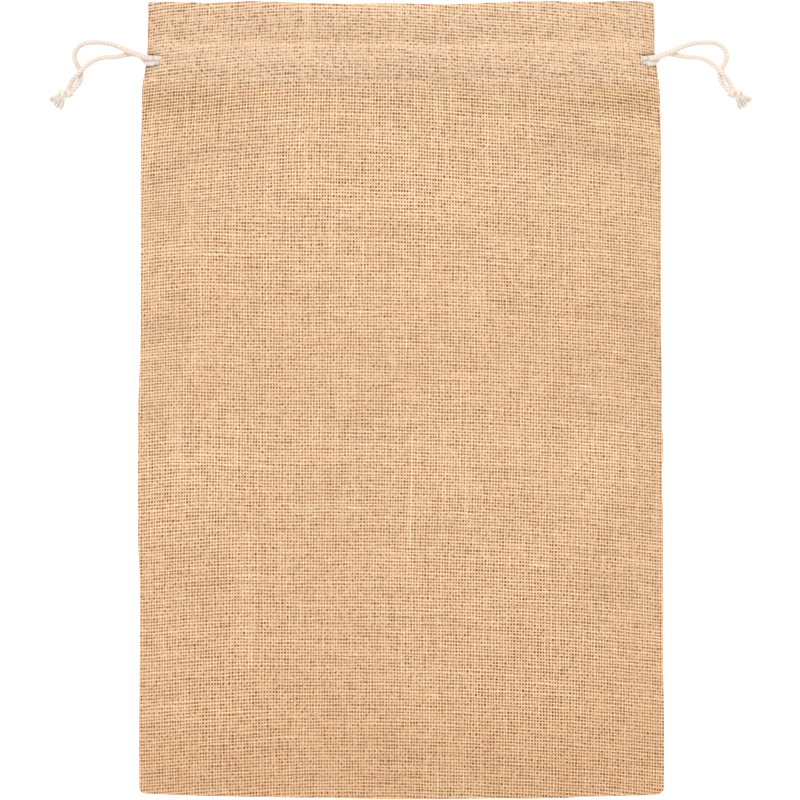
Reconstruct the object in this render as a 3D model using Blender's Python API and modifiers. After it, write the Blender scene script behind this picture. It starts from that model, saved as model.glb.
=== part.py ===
"""A drawstring sack of jute cloth, lying empty and flat on a table with its mouth towards +Y.

Two panels of cloth meet at the side and foot seams. Each has its mouth hem folded inwards, and the
hem holds a sewn channel. Two cotton cords run in the channel: one goes in and out at the left side,
the other at the right. The two strands of each cord meet in a knot with frayed ends.

The origin is under the middle of the cloth, on the table. +X is to the right, +Z is up.
"""
import math

import bmesh
import bpy
import numpy as np
from mathutils import Matrix, Vector

MM = 0.001

# ---------------------------------------------------------------- driving sizes, in millimetres
CLOTH = 1.0  # thickness of the jute cloth
LAYER_GAP = 0.4  # air between a wall and its folded hem
SEAM_GAP = 0.3  # air between the two panels where the seam joins them
CHANNEL_GAP = 3.3  # air in the channel, round a cord
CORNER_RADIUS = 4.0  # the rounded corners at the foot
FOOT_SHOULDER = 45.0  # how far in from the foot the upper cloth reaches its full height
CROWN_POWER = 2.4  # how blunt the sides are: 2 is a parabola
HEM_LINE = 62.0  # below the mouth, where the rows that follow the hem begin
CLOTH_ABOVE_HEM_LINE = 396.0  # from the foot to that line, which BODY_ROWS divide

CORD = 2.7  # across the cord's three plies
CORD_VALLEY = 1.95  # across the cord between the plies
CORD_LAY = 6.6  # length of one full turn of the plies
STRAND_STEP = 0.95  # between the sections of a strand that shows
HIDDEN_STEP = 7.0  # between the sections of a strand in the channel
LINE_STEPS = 12  # points of a smooth line between two points of its route
TURN_FROM_SIDE = 18.5  # from the side edge to the middle of a cord's turn at the channel's far end
RUN_Z_FRONT = 13.15  # height of a cord in the front channel
RUN_Z_BACK = 2.65  # height of a cord in the back channel
MOUTH_Y = 229.5  # the mouth edge at the sides, from which the cords' depths are taken
TURN_DEPTH = {"left": 28.5, "right": 40.0}  # depth of each cord's turn, so that they pass clear
TURN_PARTS = 8  # straight parts of the half circle at a cord's turn
STRAIGHT_FROM_TURN = 20.0  # a cord is level and straight up to here from its turn
SAG_FROM_TURN = 90.0  # and wanders most at this distance from it
SAG_FRONT = 1.2  # by this much in the front channel
SAG_BACK = 2.0  # and by this much in the back channel
MIRROR_X = -0.3  # the plane between the two cords

# Side edges of the cloth: y, x of the left edge, x of the right edge.
SIDE_ROWS = (
    (-232.0, -151.1, 151.5),
    (-216.0, -151.1, 151.6),
    (-190.0, -150.9, 151.6),
    (-146.0, -150.6, 150.9),
    (-112.0, -150.5, 150.9),
    (-72.0, -151.6, 150.9),
    (-45.0, -151.6, 150.5),
    (-26.0, -151.6, 150.9),
    (-9.0, -151.6, 150.3),
    (11.0, -150.9, 150.3),
    (41.0, -150.1, 149.8),
    (131.0, -150.1, 149.8),
    (166.0, -149.5, 149.5),
    (179.0, -149.2, 148.9),
    (191.0, -147.4, 147.5),
    (203.0, -145.9, 145.8),
    (218.0, -145.8, 146.0),
    (232.0, -145.7, 145.5),
)

# The mouth's wavy edge: x, y.
MOUTH_ROWS = (
    (-152.0, 229.9), (-110.2, 229.0), (-86.0, 230.0), (-56.0, 229.0), (-30.6, 228.5), (-12.0, 228.8),
    (23.7, 228.2), (49.6, 229.0), (68.7, 229.7), (84.3, 230.0), (107.4, 229.3), (125.3, 230.0),
    (152.0, 230.0),
)

# The foot's edge, a little bowed: x, y.
FOOT_ROWS = (
    (-152.0, -226.9), (-127.0, -227.8), (-82.5, -228.7), (-46.2, -229.2), (-4.0, -230.0), (45.6, -229.6),
    (89.5, -229.4), (112.0, -228.4), (141.4, -227.8), (152.0, -227.3),
)

EDGE_HEIGHT = 1.5 * CLOTH + SEAM_GAP  # middle of the upper cloth's thickness where the seam joins it

# The upper cloth across the hem, at its middle thickness:
# depth below the mouth, height of its flat middle, height of its side edge, width of its shoulder.
FRONT_ROWS = (
    (0.0, 12.1, 4.3, 18.0),
    (14.0, 12.2, 4.2, 18.0),
    (20.0, 12.6, 3.9, 18.0),
    (24.0, 13.4, 3.3, 18.5),
    (27.2, 15.2, 2.5, 19.0),
    (34.2, 15.3, EDGE_HEIGHT, 19.0),
    (41.4, 15.2, EDGE_HEIGHT, 19.0),
    (44.6, 13.5, EDGE_HEIGHT, 20.0),
    (48.0, 12.8, EDGE_HEIGHT, 21.0),
    (62.0, 11.8, EDGE_HEIGHT, 23.0),
    (95.0, 11.3, EDGE_HEIGHT, 28.0),
    (240.0, 11.5, EDGE_HEIGHT, 34.0),
    (470.0, 11.0, EDGE_HEIGHT, 34.0),
)

# Air between a wall and its hem, and how far the hem's ends stay in from the side edge, by depth.
HEM_ROWS = (
    (0.0, LAYER_GAP, 1.5),
    (14.0, LAYER_GAP, 4.0),
    (20.0, LAYER_GAP, 12.0),
    (24.0, LAYER_GAP, 19.0),
    (27.2, CHANNEL_GAP, 21.0),
    (41.4, CHANNEL_GAP, 21.0),
    (44.6, LAYER_GAP, 21.0),
    (60.0, LAYER_GAP, 21.0),
)

# Soft folds of the upper cloth: middle x and y, direction in degrees, length, width, rise.
FOLD_ROWS = (
    (-128.0, 136.0, 33.0, 34.0, 9.0, -1.4),
    (-99.0, 146.0, 8.0, 36.0, 9.0, -1.1),
    (127.0, 136.0, -33.0, 34.0, 9.0, -1.4),
    (98.0, 146.0, -8.0, 36.0, 9.0, -1.1),
    (-34.0, 99.0, 0.0, 125.0, 9.0, -0.9),
    (92.0, 97.0, -2.0, 50.0, 9.0, -0.8),
    (-126.0, 168.0, 5.0, 34.0, 9.0, -1.3),
    (126.0, 168.0, -5.0, 34.0, 9.0, -1.3),
    (-126.0, 48.0, 2.0, 34.0, 10.0, -1.2),
    (126.0, 48.0, -2.0, 34.0, 10.0, -1.2),
    (-20.0, 60.0, 80.0, 170.0, 30.0, 0.8),
    (60.0, -60.0, 95.0, 190.0, 34.0, 0.7),
    (-75.0, -110.0, 70.0, 140.0, 26.0, 0.7),
)

# Where the cloth is divided: distances in from each side, up from the foot, and below the mouth.
FRONT_COLUMNS = (0, 1.2, 3.4, 7.2, 12, 20, 33, 50, 69, 89, 110, 130, 150)
BACK_COLUMNS = (0, 3.4, 12, 30, 60, 90, 120, 150)
FRONT_BODY_ROWS = (0, 1.2, 3.4, 8, 16, 28, 44, 64, 86, 110, 134, 158, 182, 206, 230, 254, 278, 302,
                   324, 344, 362, 379)
BACK_BODY_ROWS = (0, 1.2, 3.4, 16, 44, 86, 146, 206, 266, 326, 362)
FRONT_WALL_DEPTHS = (62, 54, 48, 44.6, 41.4, 37.4, 34.2, 31, 27.2, 24, 20, 12, 5)
BACK_WALL_DEPTHS = (62, 44.6, 34.2, 24, 12)
HEM_DEPTHS = (12, 20, 24, 27.2, 34.2, 41.4, 44.6, 46)
FOLD_STEPS = 4  # faces round the fold at the mouth
HALF_WIDTH = 150.0  # what the columns divide

# The open ends of the channel, where the cords come out: cut back from the side edge of the front.
NOTCH_DEPTHS = (31.0, 37.4)
NOTCH_IN = 7.2
NOTCH_ROUND = 1.0  # how much further in the middle of its inner end lies

# The strands of the left cord, from the channel to the knot: x, y, z.
UPPER_STRAND = (
    (-126.0, 196.9, 13.1), (-131.0, 196.9, 12.2), (-135.0, 196.8, 10.6), (-138.5, 196.8, 8.5),
    (-142.5, 196.8, 6.9), (-146.8, 197.4, 5.8), (-151.8, 199.3, 5.0), (-157.0, 201.4, 4.3),
    (-162.2, 203.8, 3.2), (-167.4, 205.7, 1.8), (-172.3, 206.5, 1.4), (-177.4, 206.8, 1.4),
    (-181.6, 206.4, 1.4), (-185.4, 204.8, 1.4), (-187.8, 202.2, 1.4), (-188.6, 198.7, 1.4),
    (-187.8, 195.3, 1.4), (-186.2, 192.1, 1.4), (-184.9, 189.2, 1.4), (-184.7, 186.0, 1.6),
    (-185.7, 183.2, 2.2), (-187.3, 181.2, 2.8), (-189.3, 179.1, 3.1),
)
LOWER_STRAND = (
    (-126.0, 193.6, 2.65), (-132.5, 193.6, 3.0), (-138.5, 193.6, 3.9), (-143.1, 193.5, 4.2),
    (-146.3, 194.1, 3.6), (-148.9, 195.9, 2.6), (-151.8, 198.0, 1.6), (-155.3, 199.3, 1.4),
    (-158.7, 199.1, 1.4), (-162.2, 198.4, 1.4), (-166.8, 198.2, 1.4), (-171.4, 198.0, 1.4),
    (-175.5, 196.9, 1.6), (-179.5, 194.7, 2.5), (-182.1, 192.6, 3.7), (-184.7, 190.1, 4.5),
    (-187.2, 187.5, 3.9), (-189.6, 184.9, 2.8), (-191.0, 182.4, 2.8), (-191.8, 180.6, 3.0),
)

# The left knot: its wraps are rings round the strands, on a core. Middle x, y, z, direction of the
# ring's axis in the plane of the table in degrees, radius of the ring, radius of its cord.
KNOT_WRAPS = (
    (-191.2, 177.7, 3.15, 52.0, 1.75, 1.35),
    (-193.2, 177.0, 3.1, 38.0, 1.75, 1.3),
    (-195.4, 176.6, 3.0, 16.0, 1.75, 1.2),
)
KNOT_CORE = (-193.2, 177.1, 2.9)
KNOT_CORE_SEMI_AXES = (3.6, 2.3, 2.2)
KNOT_CORE_TURN = 24.0  # degrees
TASSEL_ROOT = (-195.5, 176.4)  # middle of the frayed ends' roots, inside the last wrap: x, y
TASSEL_ROOT_WIDTH = 2.8
TASSEL_TIPS = ((-203.6, 174.9), (-201.2, 170.6), (-196.0, 167.7))  # the fan's outer line: x, y
TASSEL_LAYERS = (
    # number of strands, height at the root, height at the tips, radius at the root, at the tips
    (9, 2.9, 1.35, 0.24, 0.36),
    (10, 1.4, 0.45, 0.24, 0.40),
)
SHORTER_ENDS = (0, 1.05, 0.7, 0.35)  # how much shorter one frayed end is than the next

COLOURS = {
    # linear colour, roughness
    "jute": ((0.62, 0.40, 0.22, 1.0), 0.92),
    "cotton": ((0.86, 0.78, 0.66, 1.0), 0.85),
}


# ------------------------------------------------------------------------------- small helpers
def smooth_row(rows, at):
    """The columns of a table at a value of its first column, along a curve with no overshoot."""
    table = np.array(rows, dtype=float)
    keys, values = table[:, 0], table[:, 1:]
    at = min(max(at, keys[0]), keys[-1])
    secants = np.diff(values, axis=0) / np.diff(keys)[:, None]
    slopes = np.zeros_like(values)
    same_way = secants[1:] * secants[:-1] > 0
    mean = 2 * secants[1:] * secants[:-1] / np.where(same_way, secants[1:] + secants[:-1], 1)
    slopes[1:-1] = np.where(same_way, mean, 0)
    i = min(max(int(np.searchsorted(keys, at)) - 1, 0), len(keys) - 2)
    step = keys[i + 1] - keys[i]
    t = (at - keys[i]) / step
    row = (
        values[i] * (1 + 2 * t) * (1 - t) ** 2
        + slopes[i] * step * t * (1 - t) ** 2
        + values[i + 1] * t * t * (3 - 2 * t)
        - slopes[i + 1] * step * t * t * (1 - t)
    )
    return row.tolist()


def crown(inward, width):
    """0 at the cloth's edge and 1 from the shoulder's width inwards."""
    return 1 - (1 - min(max(inward / width, 0), 1)) ** CROWN_POWER


def through_points(points):
    """A dense smooth line through a route's points, from which sections are read."""
    points = [Vector(p) for p in points]
    ends = [2 * points[0] - points[1]] + points + [2 * points[-1] - points[-2]]
    line = []
    for before, here, there, after in zip(ends, ends[1:], ends[2:], ends[3:]):
        for k in range(LINE_STEPS):
            t = k / LINE_STEPS
            line.append(
                0.5 * (
                    2 * here
                    + (there - before) * t
                    + (2 * before - 5 * here + 4 * there - after) * t * t
                    + (3 * here - before - 3 * there + after) * t ** 3
                )
            )
    return line + [points[-1]]


def even_steps(line, step):
    """Points along a line, the given step apart, with both its ends."""
    places = np.array([tuple(p) for p in line])
    along = np.concatenate([[0], np.cumsum(np.linalg.norm(np.diff(places, axis=0), axis=1))])
    wanted = np.linspace(0, along[-1], max(2, round(along[-1] / step) + 1))
    return [Vector([np.interp(w, along, places[:, k]) for k in range(3)]) for w in wanted]


def new_collection(name):
    collection = bpy.data.collections.new(name)
    bpy.context.scene.collection.children.link(collection)
    return collection


def cloth_material(name):
    colour, roughness = COLOURS[name]
    material = bpy.data.materials.new(name)
    material.use_nodes = True
    surface = material.node_tree.nodes["Principled BSDF"]
    surface.inputs["Base Color"].default_value = colour
    surface.inputs["Roughness"].default_value = roughness
    surface.inputs["Metallic"].default_value = 0.0
    return material


# ------------------------------------------------------------------------------- the cloth's form
def fold_height(x, y):
    """The soft folds' rise at a place on the upper cloth."""
    rise = 0.0
    for middle_x, middle_y, direction, length, width, height in FOLD_ROWS:
        turn = math.radians(direction)
        along = (x - middle_x) * math.cos(turn) + (y - middle_y) * math.sin(turn)
        across = (y - middle_y) * math.cos(turn) - (x - middle_x) * math.sin(turn)
        rise += height * math.exp(-((across / width) ** 2) - (2 * along / length) ** 4)
    return rise


def front_height(x, y):
    """Height of the front wall's middle thickness."""
    left, right = smooth_row(SIDE_ROWS, y)
    inward = min(x - left, right - x)
    up_from_foot = y - smooth_row(FOOT_ROWS, x)[0]
    depth = smooth_row(MOUTH_ROWS, x)[0] - y
    flat, edge, shoulder = smooth_row(FRONT_ROWS, depth)
    share = crown(inward, shoulder) * crown(up_from_foot, FOOT_SHOULDER)
    return edge + (flat + fold_height(x, y) - edge) * share


def back_height(x, y):
    """The back wall lies flat on the table."""
    return CLOTH / 2


def normal_of(height, x, y, step=0.4):
    rise_x = (height(x + step, y) - height(x - step, y)) / (2 * step)
    rise_y = (height(x, y + step) - height(x, y - step)) / (2 * step)
    return Vector((-rise_x, -rise_y, 1)).normalized()


def corner_inset(up_from_foot):
    """How far a row's ends stay in from the side edge, round a corner at the foot."""
    rise = max(CORNER_RADIUS - up_from_foot, 0)
    return CORNER_RADIUS - math.sqrt(CORNER_RADIUS ** 2 - rise ** 2)


def across(share, y, inset):
    """x at a share of a row's width, between ends that stay in from the side edges."""
    left, right = smooth_row(SIDE_ROWS, y)
    return left + inset + share * (right - left - 2 * inset)


def body_point(height, share, up_from_foot):
    guess = across(share, 0, 0)
    foot = smooth_row(FOOT_ROWS, guess)[0]
    top = smooth_row(MOUTH_ROWS, guess)[0] - HEM_LINE
    y = foot + up_from_foot / CLOTH_ABOVE_HEM_LINE * (top - foot)
    x = across(share, y, corner_inset(up_from_foot))
    return Vector((x, y, height(x, y)))


def wall_point(height, share, depth):
    y = smooth_row(MOUTH_ROWS, across(share, MOUTH_Y, 0))[0] - depth
    x = across(share, y, 0)
    return Vector((x, y, height(x, y)))


def hem_point(height, share, depth, inward):
    """On the folded hem: a point of the wall, moved into the sack along the wall's normal."""
    gap, inset = smooth_row(HEM_ROWS, depth)
    y = smooth_row(MOUTH_ROWS, across(share, MOUTH_Y, 0))[0] - depth
    x = across(share, y, inset)
    return Vector((x, y, height(x, y))) + inward * (CLOTH + gap) * normal_of(height, x, y)


def fold_point(height, share, turn, inward):
    """On the fold at the mouth, which turns half a circle from the wall to the hem."""
    radius = (CLOTH + LAYER_GAP) / 2
    depth = radius + CLOTH / 2
    start = wall_point(height, share, depth)
    inset = smooth_row(HEM_ROWS, depth)[1] * turn / math.pi
    x = across(share, start.y, inset)
    rise = inward * radius * (1 - math.cos(turn))
    return Vector((x, start.y + radius * math.sin(turn), height(x, start.y) + rise))


def cloth_rows(height, inward, shares, body_rows, wall_depths):
    """Rows of points over one panel: up its wall, round the fold and down the hem inside."""
    rows = [[body_point(height, s, up) for s in shares] for up in body_rows]
    rows += [[wall_point(height, s, depth) for s in shares] for depth in wall_depths]
    for k in range(FOLD_STEPS + 1):
        rows.append([fold_point(height, s, math.pi * k / FOLD_STEPS, inward) for s in shares])
    rows += [[hem_point(height, s, depth, inward) for s in shares] for depth in HEM_DEPTHS]
    return rows


def column_shares(columns):
    """Shares of the width from the left side to the right, the same from each side."""
    left = [c / (2 * HALF_WIDTH) for c in columns]
    return left + [1 - share for share in reversed(left[:-1])]


def sheet_mesh(name, rows, is_cut_away=lambda row, column: False):
    """An open surface over rows of points, its faces left out where the cloth is cut away."""
    mesh = bpy.data.meshes.new(name)
    bm = bmesh.new()
    points = [[bm.verts.new(point * MM) for point in row] for row in rows]
    for r in range(len(rows) - 1):
        for c in range(len(rows[0]) - 1):
            if not is_cut_away(r, c):
                bm.faces.new((points[r][c], points[r][c + 1], points[r + 1][c + 1], points[r + 1][c]))
    loose = [v for v in bm.verts if not v.link_faces]
    bmesh.ops.delete(bm, geom=loose, context="VERTS")
    bm.to_mesh(mesh)
    bm.free()
    mesh.shade_smooth()
    return mesh


def make_panel(name, rows, material, collection, is_cut_away=lambda row, column: False):
    panel = bpy.data.objects.new(name, sheet_mesh(name, rows, is_cut_away))
    panel.data.materials.append(material)
    collection.objects.link(panel)
    thickness = panel.modifiers.new("cloth", "SOLIDIFY")
    thickness.thickness = CLOTH * MM
    thickness.offset = 0.0
    return panel


def make_front_panel(material, collection):
    shares = column_shares(FRONT_COLUMNS)
    rows = cloth_rows(front_height, -1, shares, FRONT_BODY_ROWS, FRONT_WALL_DEPTHS)
    lower = len(FRONT_BODY_ROWS) + FRONT_WALL_DEPTHS.index(NOTCH_DEPTHS[1])
    upper = len(FRONT_BODY_ROWS) + FRONT_WALL_DEPTHS.index(NOTCH_DEPTHS[0])
    edge_cells = FRONT_COLUMNS.index(NOTCH_IN)
    last_cell = len(shares) - 2
    for column, way in ((edge_cells, 1), (last_cell + 1 - edge_cells, -1)):
        for row in range(lower + 1, upper):
            rows[row][column].x += way * NOTCH_ROUND

    def in_notch(row, column):
        return lower <= row < upper and min(column, last_cell - column) < edge_cells

    return make_panel("front_panel", rows, material, collection, in_notch)


def make_back_panel(material, collection):
    shares = column_shares(BACK_COLUMNS)
    rows = cloth_rows(back_height, 1, shares, BACK_BODY_ROWS, BACK_WALL_DEPTHS)
    return make_panel("back_panel", [row[::-1] for row in rows], material, collection)


# ------------------------------------------------------------------------------- the cords
def mirrored(point, side):
    """A left-hand place, or its mirror image on the right."""
    x, y, z = point
    return (x, y, z) if side == "left" else (2 * MIRROR_X - x, y, z)


def hidden_run(side):
    """A cord's way through the front channel, round its far end and back through the back channel."""
    way = 1 if side == "left" else -1
    turn_y = MOUTH_Y - TURN_DEPTH[side]
    left, right = smooth_row(SIDE_ROWS, turn_y)
    turn_x = right - TURN_FROM_SIDE if side == "left" else left + TURN_FROM_SIDE
    middle_z = (RUN_Z_FRONT + RUN_Z_BACK) / 2
    radius = (RUN_Z_FRONT - RUN_Z_BACK) / 2
    turn = []
    for k in range(TURN_PARTS + 1):
        angle = math.pi * (0.5 - k / TURN_PARTS)
        turn.append((turn_x + way * radius * math.cos(angle), turn_y, middle_z + radius * math.sin(angle)))
    sagging_x = turn_x - way * SAG_FROM_TURN
    straight_x = turn_x - way * STRAIGHT_FROM_TURN
    front = [(sagging_x, turn_y - way * SAG_FRONT, RUN_Z_FRONT), (straight_x, turn_y, RUN_Z_FRONT)]
    back = [(straight_x, turn_y, RUN_Z_BACK), (sagging_x, turn_y - way * SAG_BACK, RUN_Z_BACK)]
    return front + turn + back


def make_cord_section(side, collection):
    """The outline across a cord: three plies with valleys between them."""
    way = -1 if side == "left" else 1
    spline_data = bpy.data.curves.new("cord_section_" + side, "CURVE")
    spline_data.dimensions = "2D"
    spline = spline_data.splines.new("POLY")
    spline.points.add(5)
    for k, point in enumerate(spline.points):
        radius = (CORD if k % 2 == 0 else CORD_VALLEY) / 2 * MM
        angle = way * math.radians(60 * k)
        point.co = (radius * math.cos(angle), radius * math.sin(angle), 0, 1)
    spline.use_cyclic_u = True
    section = bpy.data.objects.new("cord_section_" + side, spline_data)
    section.hide_render = True
    section.display_type = "WIRE"
    collection.objects.link(section)
    return section


def closed_mesh(guide):
    """The evaluated mesh of a curve, its caps welded on and its faces turned outwards."""
    shape = guide.evaluated_get(bpy.context.evaluated_depsgraph_get())
    mesh = bpy.data.meshes.new_from_object(shape)
    bm = bmesh.new()
    bm.from_mesh(mesh)
    bmesh.ops.remove_doubles(bm, verts=bm.verts, dist=0.001 * MM)
    bmesh.ops.recalc_face_normals(bm, faces=bm.faces)
    bm.to_mesh(mesh)
    bm.free()
    mesh.shade_smooth()
    return mesh


def make_drawcord(side, section, material, collection):
    upper = even_steps(through_points([mirrored(p, side) for p in UPPER_STRAND]), STRAND_STEP)
    lower = even_steps(through_points([mirrored(p, side) for p in LOWER_STRAND]), STRAND_STEP)
    bends = hidden_run(side)
    between = through_points([upper[1], upper[0]] + bends + [lower[0], lower[1]])
    hidden = even_steps(between[LINE_STEPS:-LINE_STEPS - 1], HIDDEN_STEP)[1:-1]
    laid = -1 if side == "left" else 1
    data = bpy.data.curves.new("drawcord_" + side, "CURVE")
    data.dimensions = "3D"
    data.bevel_mode = "OBJECT"
    data.bevel_object = section
    data.use_fill_caps = True
    data.twist_mode = "MINIMUM"
    spline = data.splines.new("POLY")
    path = upper[::-1] + hidden + lower
    spline.points.add(len(path) - 1)
    tilt = 0.0
    for k, (point, place) in enumerate(zip(spline.points, path)):
        if 0 < k < len(upper) or k > len(path) - len(lower):
            tilt += laid * 2 * math.pi * (place - path[k - 1]).length / CORD_LAY
        point.co = (*(place * MM), 1)
        point.tilt = tilt
    guide = bpy.data.objects.new("guide_" + side, data)
    collection.objects.link(guide)
    cord = bpy.data.objects.new("drawcord_" + side, closed_mesh(guide))
    cord.data.materials.append(material)
    collection.objects.link(cord)
    bpy.data.objects.remove(guide)
    return cord


# ------------------------------------------------------------------------------- the knots
def add_part(name, collection):
    """Takes the primitive that was just added into a collection of shapes to be joined."""
    shape = bpy.context.object
    shape.name = name
    for owner in list(shape.users_collection):
        owner.objects.unlink(shape)
    collection.objects.link(shape)
    shape.hide_render = True
    shape.display_type = "WIRE"
    return shape


def tassel_strand(bm, root, tip, root_radius, tip_radius):
    """One frayed end: a tapered rod of three sides that droops to lie level at its tip."""
    stations = []
    for k in range(4):
        t = k / 3
        drop = t * t * (3 - 2 * t)
        place = root.lerp(tip, t)
        place.z = root.z + (tip.z - root.z) * drop
        stations.append((place, root_radius + (tip_radius - root_radius) * t))
    along = (tip - root).normalized()
    side = along.cross(Vector((0, 0, 1))).normalized()
    up = side.cross(along)
    rings = []
    for place, radius in stations:
        ring = []
        for corner in (90, 210, 330):
            turn = math.radians(corner)
            offset = radius * (side * math.cos(turn) + up * math.sin(turn))
            ring.append(bm.verts.new((place + offset) * MM))
        rings.append(ring)
    for ring, following in zip(rings, rings[1:]):
        for k in range(3):
            n = (k + 1) % 3
            bm.faces.new((ring[k], ring[n], following[n], following[k]))
    bm.faces.new(rings[0][::-1])
    bm.faces.new(rings[-1])


def make_tassel(side, material, cutters):
    """The frayed ends as separate strands, their roots inside the knot."""
    root = Vector(mirrored((*TASSEL_ROOT, 0), side))
    outer = [Vector(mirrored(p, side)) for p in through_points([(*p, 0) for p in TASSEL_TIPS])]
    middle_tip = outer[len(outer) // 2]
    axis = Vector((middle_tip.x - root.x, middle_tip.y - root.y, 0)).normalized()
    sideways = Vector((axis.y, -axis.x, 0))
    if sideways.dot(outer[-1] - outer[0]) < 0:
        sideways = -sideways
    mesh = bpy.data.meshes.new("tassel_" + side)
    bm = bmesh.new()
    for layer, (number, root_z, tip_z, root_radius, tip_radius) in enumerate(TASSEL_LAYERS):
        for k in range(number):
            share = (k + 0.5) / number
            start = root + sideways * (share - 0.5) * TASSEL_ROOT_WIDTH
            start.z = root_z
            tip = outer[round(share * (len(outer) - 1))].copy()
            tip -= (tip - start).normalized() * SHORTER_ENDS[(k + layer) % len(SHORTER_ENDS)]
            tip.z = tip_z
            tassel_strand(bm, start, tip, root_radius, tip_radius)
    bmesh.ops.recalc_face_normals(bm, faces=bm.faces)
    bm.to_mesh(mesh)
    bm.free()
    mesh.materials.append(material)
    tassel = bpy.data.objects.new("tassel_" + side, mesh)
    tassel.hide_render = True
    tassel.display_type = "WIRE"
    cutters.objects.link(tassel)
    return tassel


def make_knot(side, material, collection, cutters):
    """Wraps of cord on a core, and the frayed ends, all joined into one body."""
    turned = 1 if side == "left" else -1
    parts = []
    for k, (x, y, z, direction, ring, cord) in enumerate(KNOT_WRAPS):
        angle = math.radians(direction) if side == "left" else math.pi - math.radians(direction)
        bpy.ops.mesh.primitive_torus_add(
            location=Vector(mirrored((x, y, z), side)) * MM,
            rotation=(math.pi / 2, 0, angle + math.pi / 2),
            major_radius=ring * MM, minor_radius=cord * MM, major_segments=14, minor_segments=8,
        )
        parts.append(add_part("wrap_%s_%d" % (side, k), cutters))
    bpy.ops.mesh.primitive_uv_sphere_add(segments=14, ring_count=8, radius=MM)
    core = bpy.context.object
    core.name = "knot_" + side
    semi = Matrix.Diagonal((*KNOT_CORE_SEMI_AXES, 1))
    turn = Matrix.Rotation(turned * math.radians(KNOT_CORE_TURN), 4, "Z")
    core.data.transform(turn @ semi)
    core.location = Vector(mirrored(KNOT_CORE, side)) * MM
    for owner in list(core.users_collection):
        owner.objects.unlink(core)
    collection.objects.link(core)
    core.data.materials.append(material)
    parts.append(make_tassel(side, material, cutters))
    for part in parts:
        join = core.modifiers.new(part.name, "BOOLEAN")
        join.operation = "UNION"
        join.solver = "EXACT"
        join.use_self = True
        join.object = part
    return core


# ------------------------------------------------------------------------------- the sack
def main():
    for old in list(bpy.data.objects):
        bpy.data.objects.remove(old, do_unlink=True)
    sack = new_collection("drawstring_sack")
    cutters = new_collection("cutters")
    jute = cloth_material("jute")
    cotton = cloth_material("cotton")
    make_front_panel(jute, sack)
    make_back_panel(jute, sack)
    for side in ("left", "right"):
        make_drawcord(side, make_cord_section(side, cutters), cotton, sack)
        make_knot(side, cotton, sack, cutters)


main()
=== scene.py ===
"""Finishes of a drawstring sack of open-weave jute, lying flat with its mouth towards +Y."""
from math import cos, pi, radians, sin, sqrt

import bmesh
import bpy
import numpy as np
from mathutils import Matrix, Vector


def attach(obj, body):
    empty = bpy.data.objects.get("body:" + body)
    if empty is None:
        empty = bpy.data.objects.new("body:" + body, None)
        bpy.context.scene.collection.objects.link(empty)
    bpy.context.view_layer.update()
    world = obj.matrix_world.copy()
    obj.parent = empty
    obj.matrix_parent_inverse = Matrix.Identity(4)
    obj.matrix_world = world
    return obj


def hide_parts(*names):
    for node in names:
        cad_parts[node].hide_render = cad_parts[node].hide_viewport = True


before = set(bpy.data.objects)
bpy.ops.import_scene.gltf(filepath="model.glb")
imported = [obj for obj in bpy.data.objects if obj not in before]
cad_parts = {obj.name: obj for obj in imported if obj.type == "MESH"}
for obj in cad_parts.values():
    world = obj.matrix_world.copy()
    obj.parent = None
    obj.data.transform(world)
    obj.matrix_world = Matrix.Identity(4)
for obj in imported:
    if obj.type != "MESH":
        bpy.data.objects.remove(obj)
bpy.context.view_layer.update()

MM = 0.001
WAYS = {"left": 1, "right": -1}  # which way each side's cord is laid and runs

# ---- the sack's form, in millimetres
CLOTH = 1.0
CLOTH_WIDTH = 300.0
WOVEN = 0.8  # thickness of the woven sheets that show
LAYER_GAP = 0.4
SEAM_GAP = 0.3
CHANNEL_GAP = 3.3
CORNER_RADIUS = 4.0
FOOT_SHOULDER = 45.0
CROWN_POWER = 2.4
HEM_LINE = 62.0
CLOTH_ABOVE_HEM_LINE = 396.0
HEM_DEPTH = 46.0
EDGE_Z = 1.5 * CLOTH + SEAM_GAP
MOUTH_Y = 229.5
MIRROR_X = -0.3
CORD = 2.7
CORD_LAY = 6.6
TURN_FROM_SIDE = 18.5
RUN_Z_FRONT = 13.15
RUN_Z_BACK = 2.65
TURN_DEPTH = {"left": 28.5, "right": 40.0}
TURN_PARTS = 8
STRAIGHT_FROM_TURN = 20.0
SAG_FROM_TURN = 90.0
SAG_FRONT = 1.2
SAG_BACK = 2.0

# Side edges of the cloth: y, x of the left edge, x of the right edge.
SIDE_ROWS = (
    (-232, -151.1, 151.5), (-216, -151.1, 151.6), (-190, -150.9, 151.6), (-146, -150.6, 150.9),
    (-112, -150.5, 150.9), (-72, -151.6, 150.9), (-45, -151.6, 150.5), (-26, -151.6, 150.9),
    (-9, -151.6, 150.3), (11, -150.9, 150.3), (41, -150.1, 149.8), (131, -150.1, 149.8),
    (166, -149.5, 149.5), (179, -149.2, 148.9), (191, -147.4, 147.5), (203, -145.9, 145.8),
    (218, -145.8, 146), (232, -145.7, 145.5),
)
# The mouth's wavy edge: x, y.
MOUTH_ROWS = (
    (-152, 229.9), (-110.2, 229), (-86, 230), (-56, 229), (-30.6, 228.5), (-12, 228.8), (23.7, 228.2),
    (49.6, 229), (68.7, 229.7), (84.3, 230), (107.4, 229.3), (125.3, 230), (152, 230),
)
# The foot's edge, a little bowed: x, y.
FOOT_ROWS = (
    (-152, -226.9), (-127, -227.8), (-82.5, -228.7), (-46.2, -229.2), (-4, -230), (45.6, -229.6),
    (89.5, -229.4), (112, -228.4), (141.4, -227.8), (152, -227.3),
)
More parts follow.
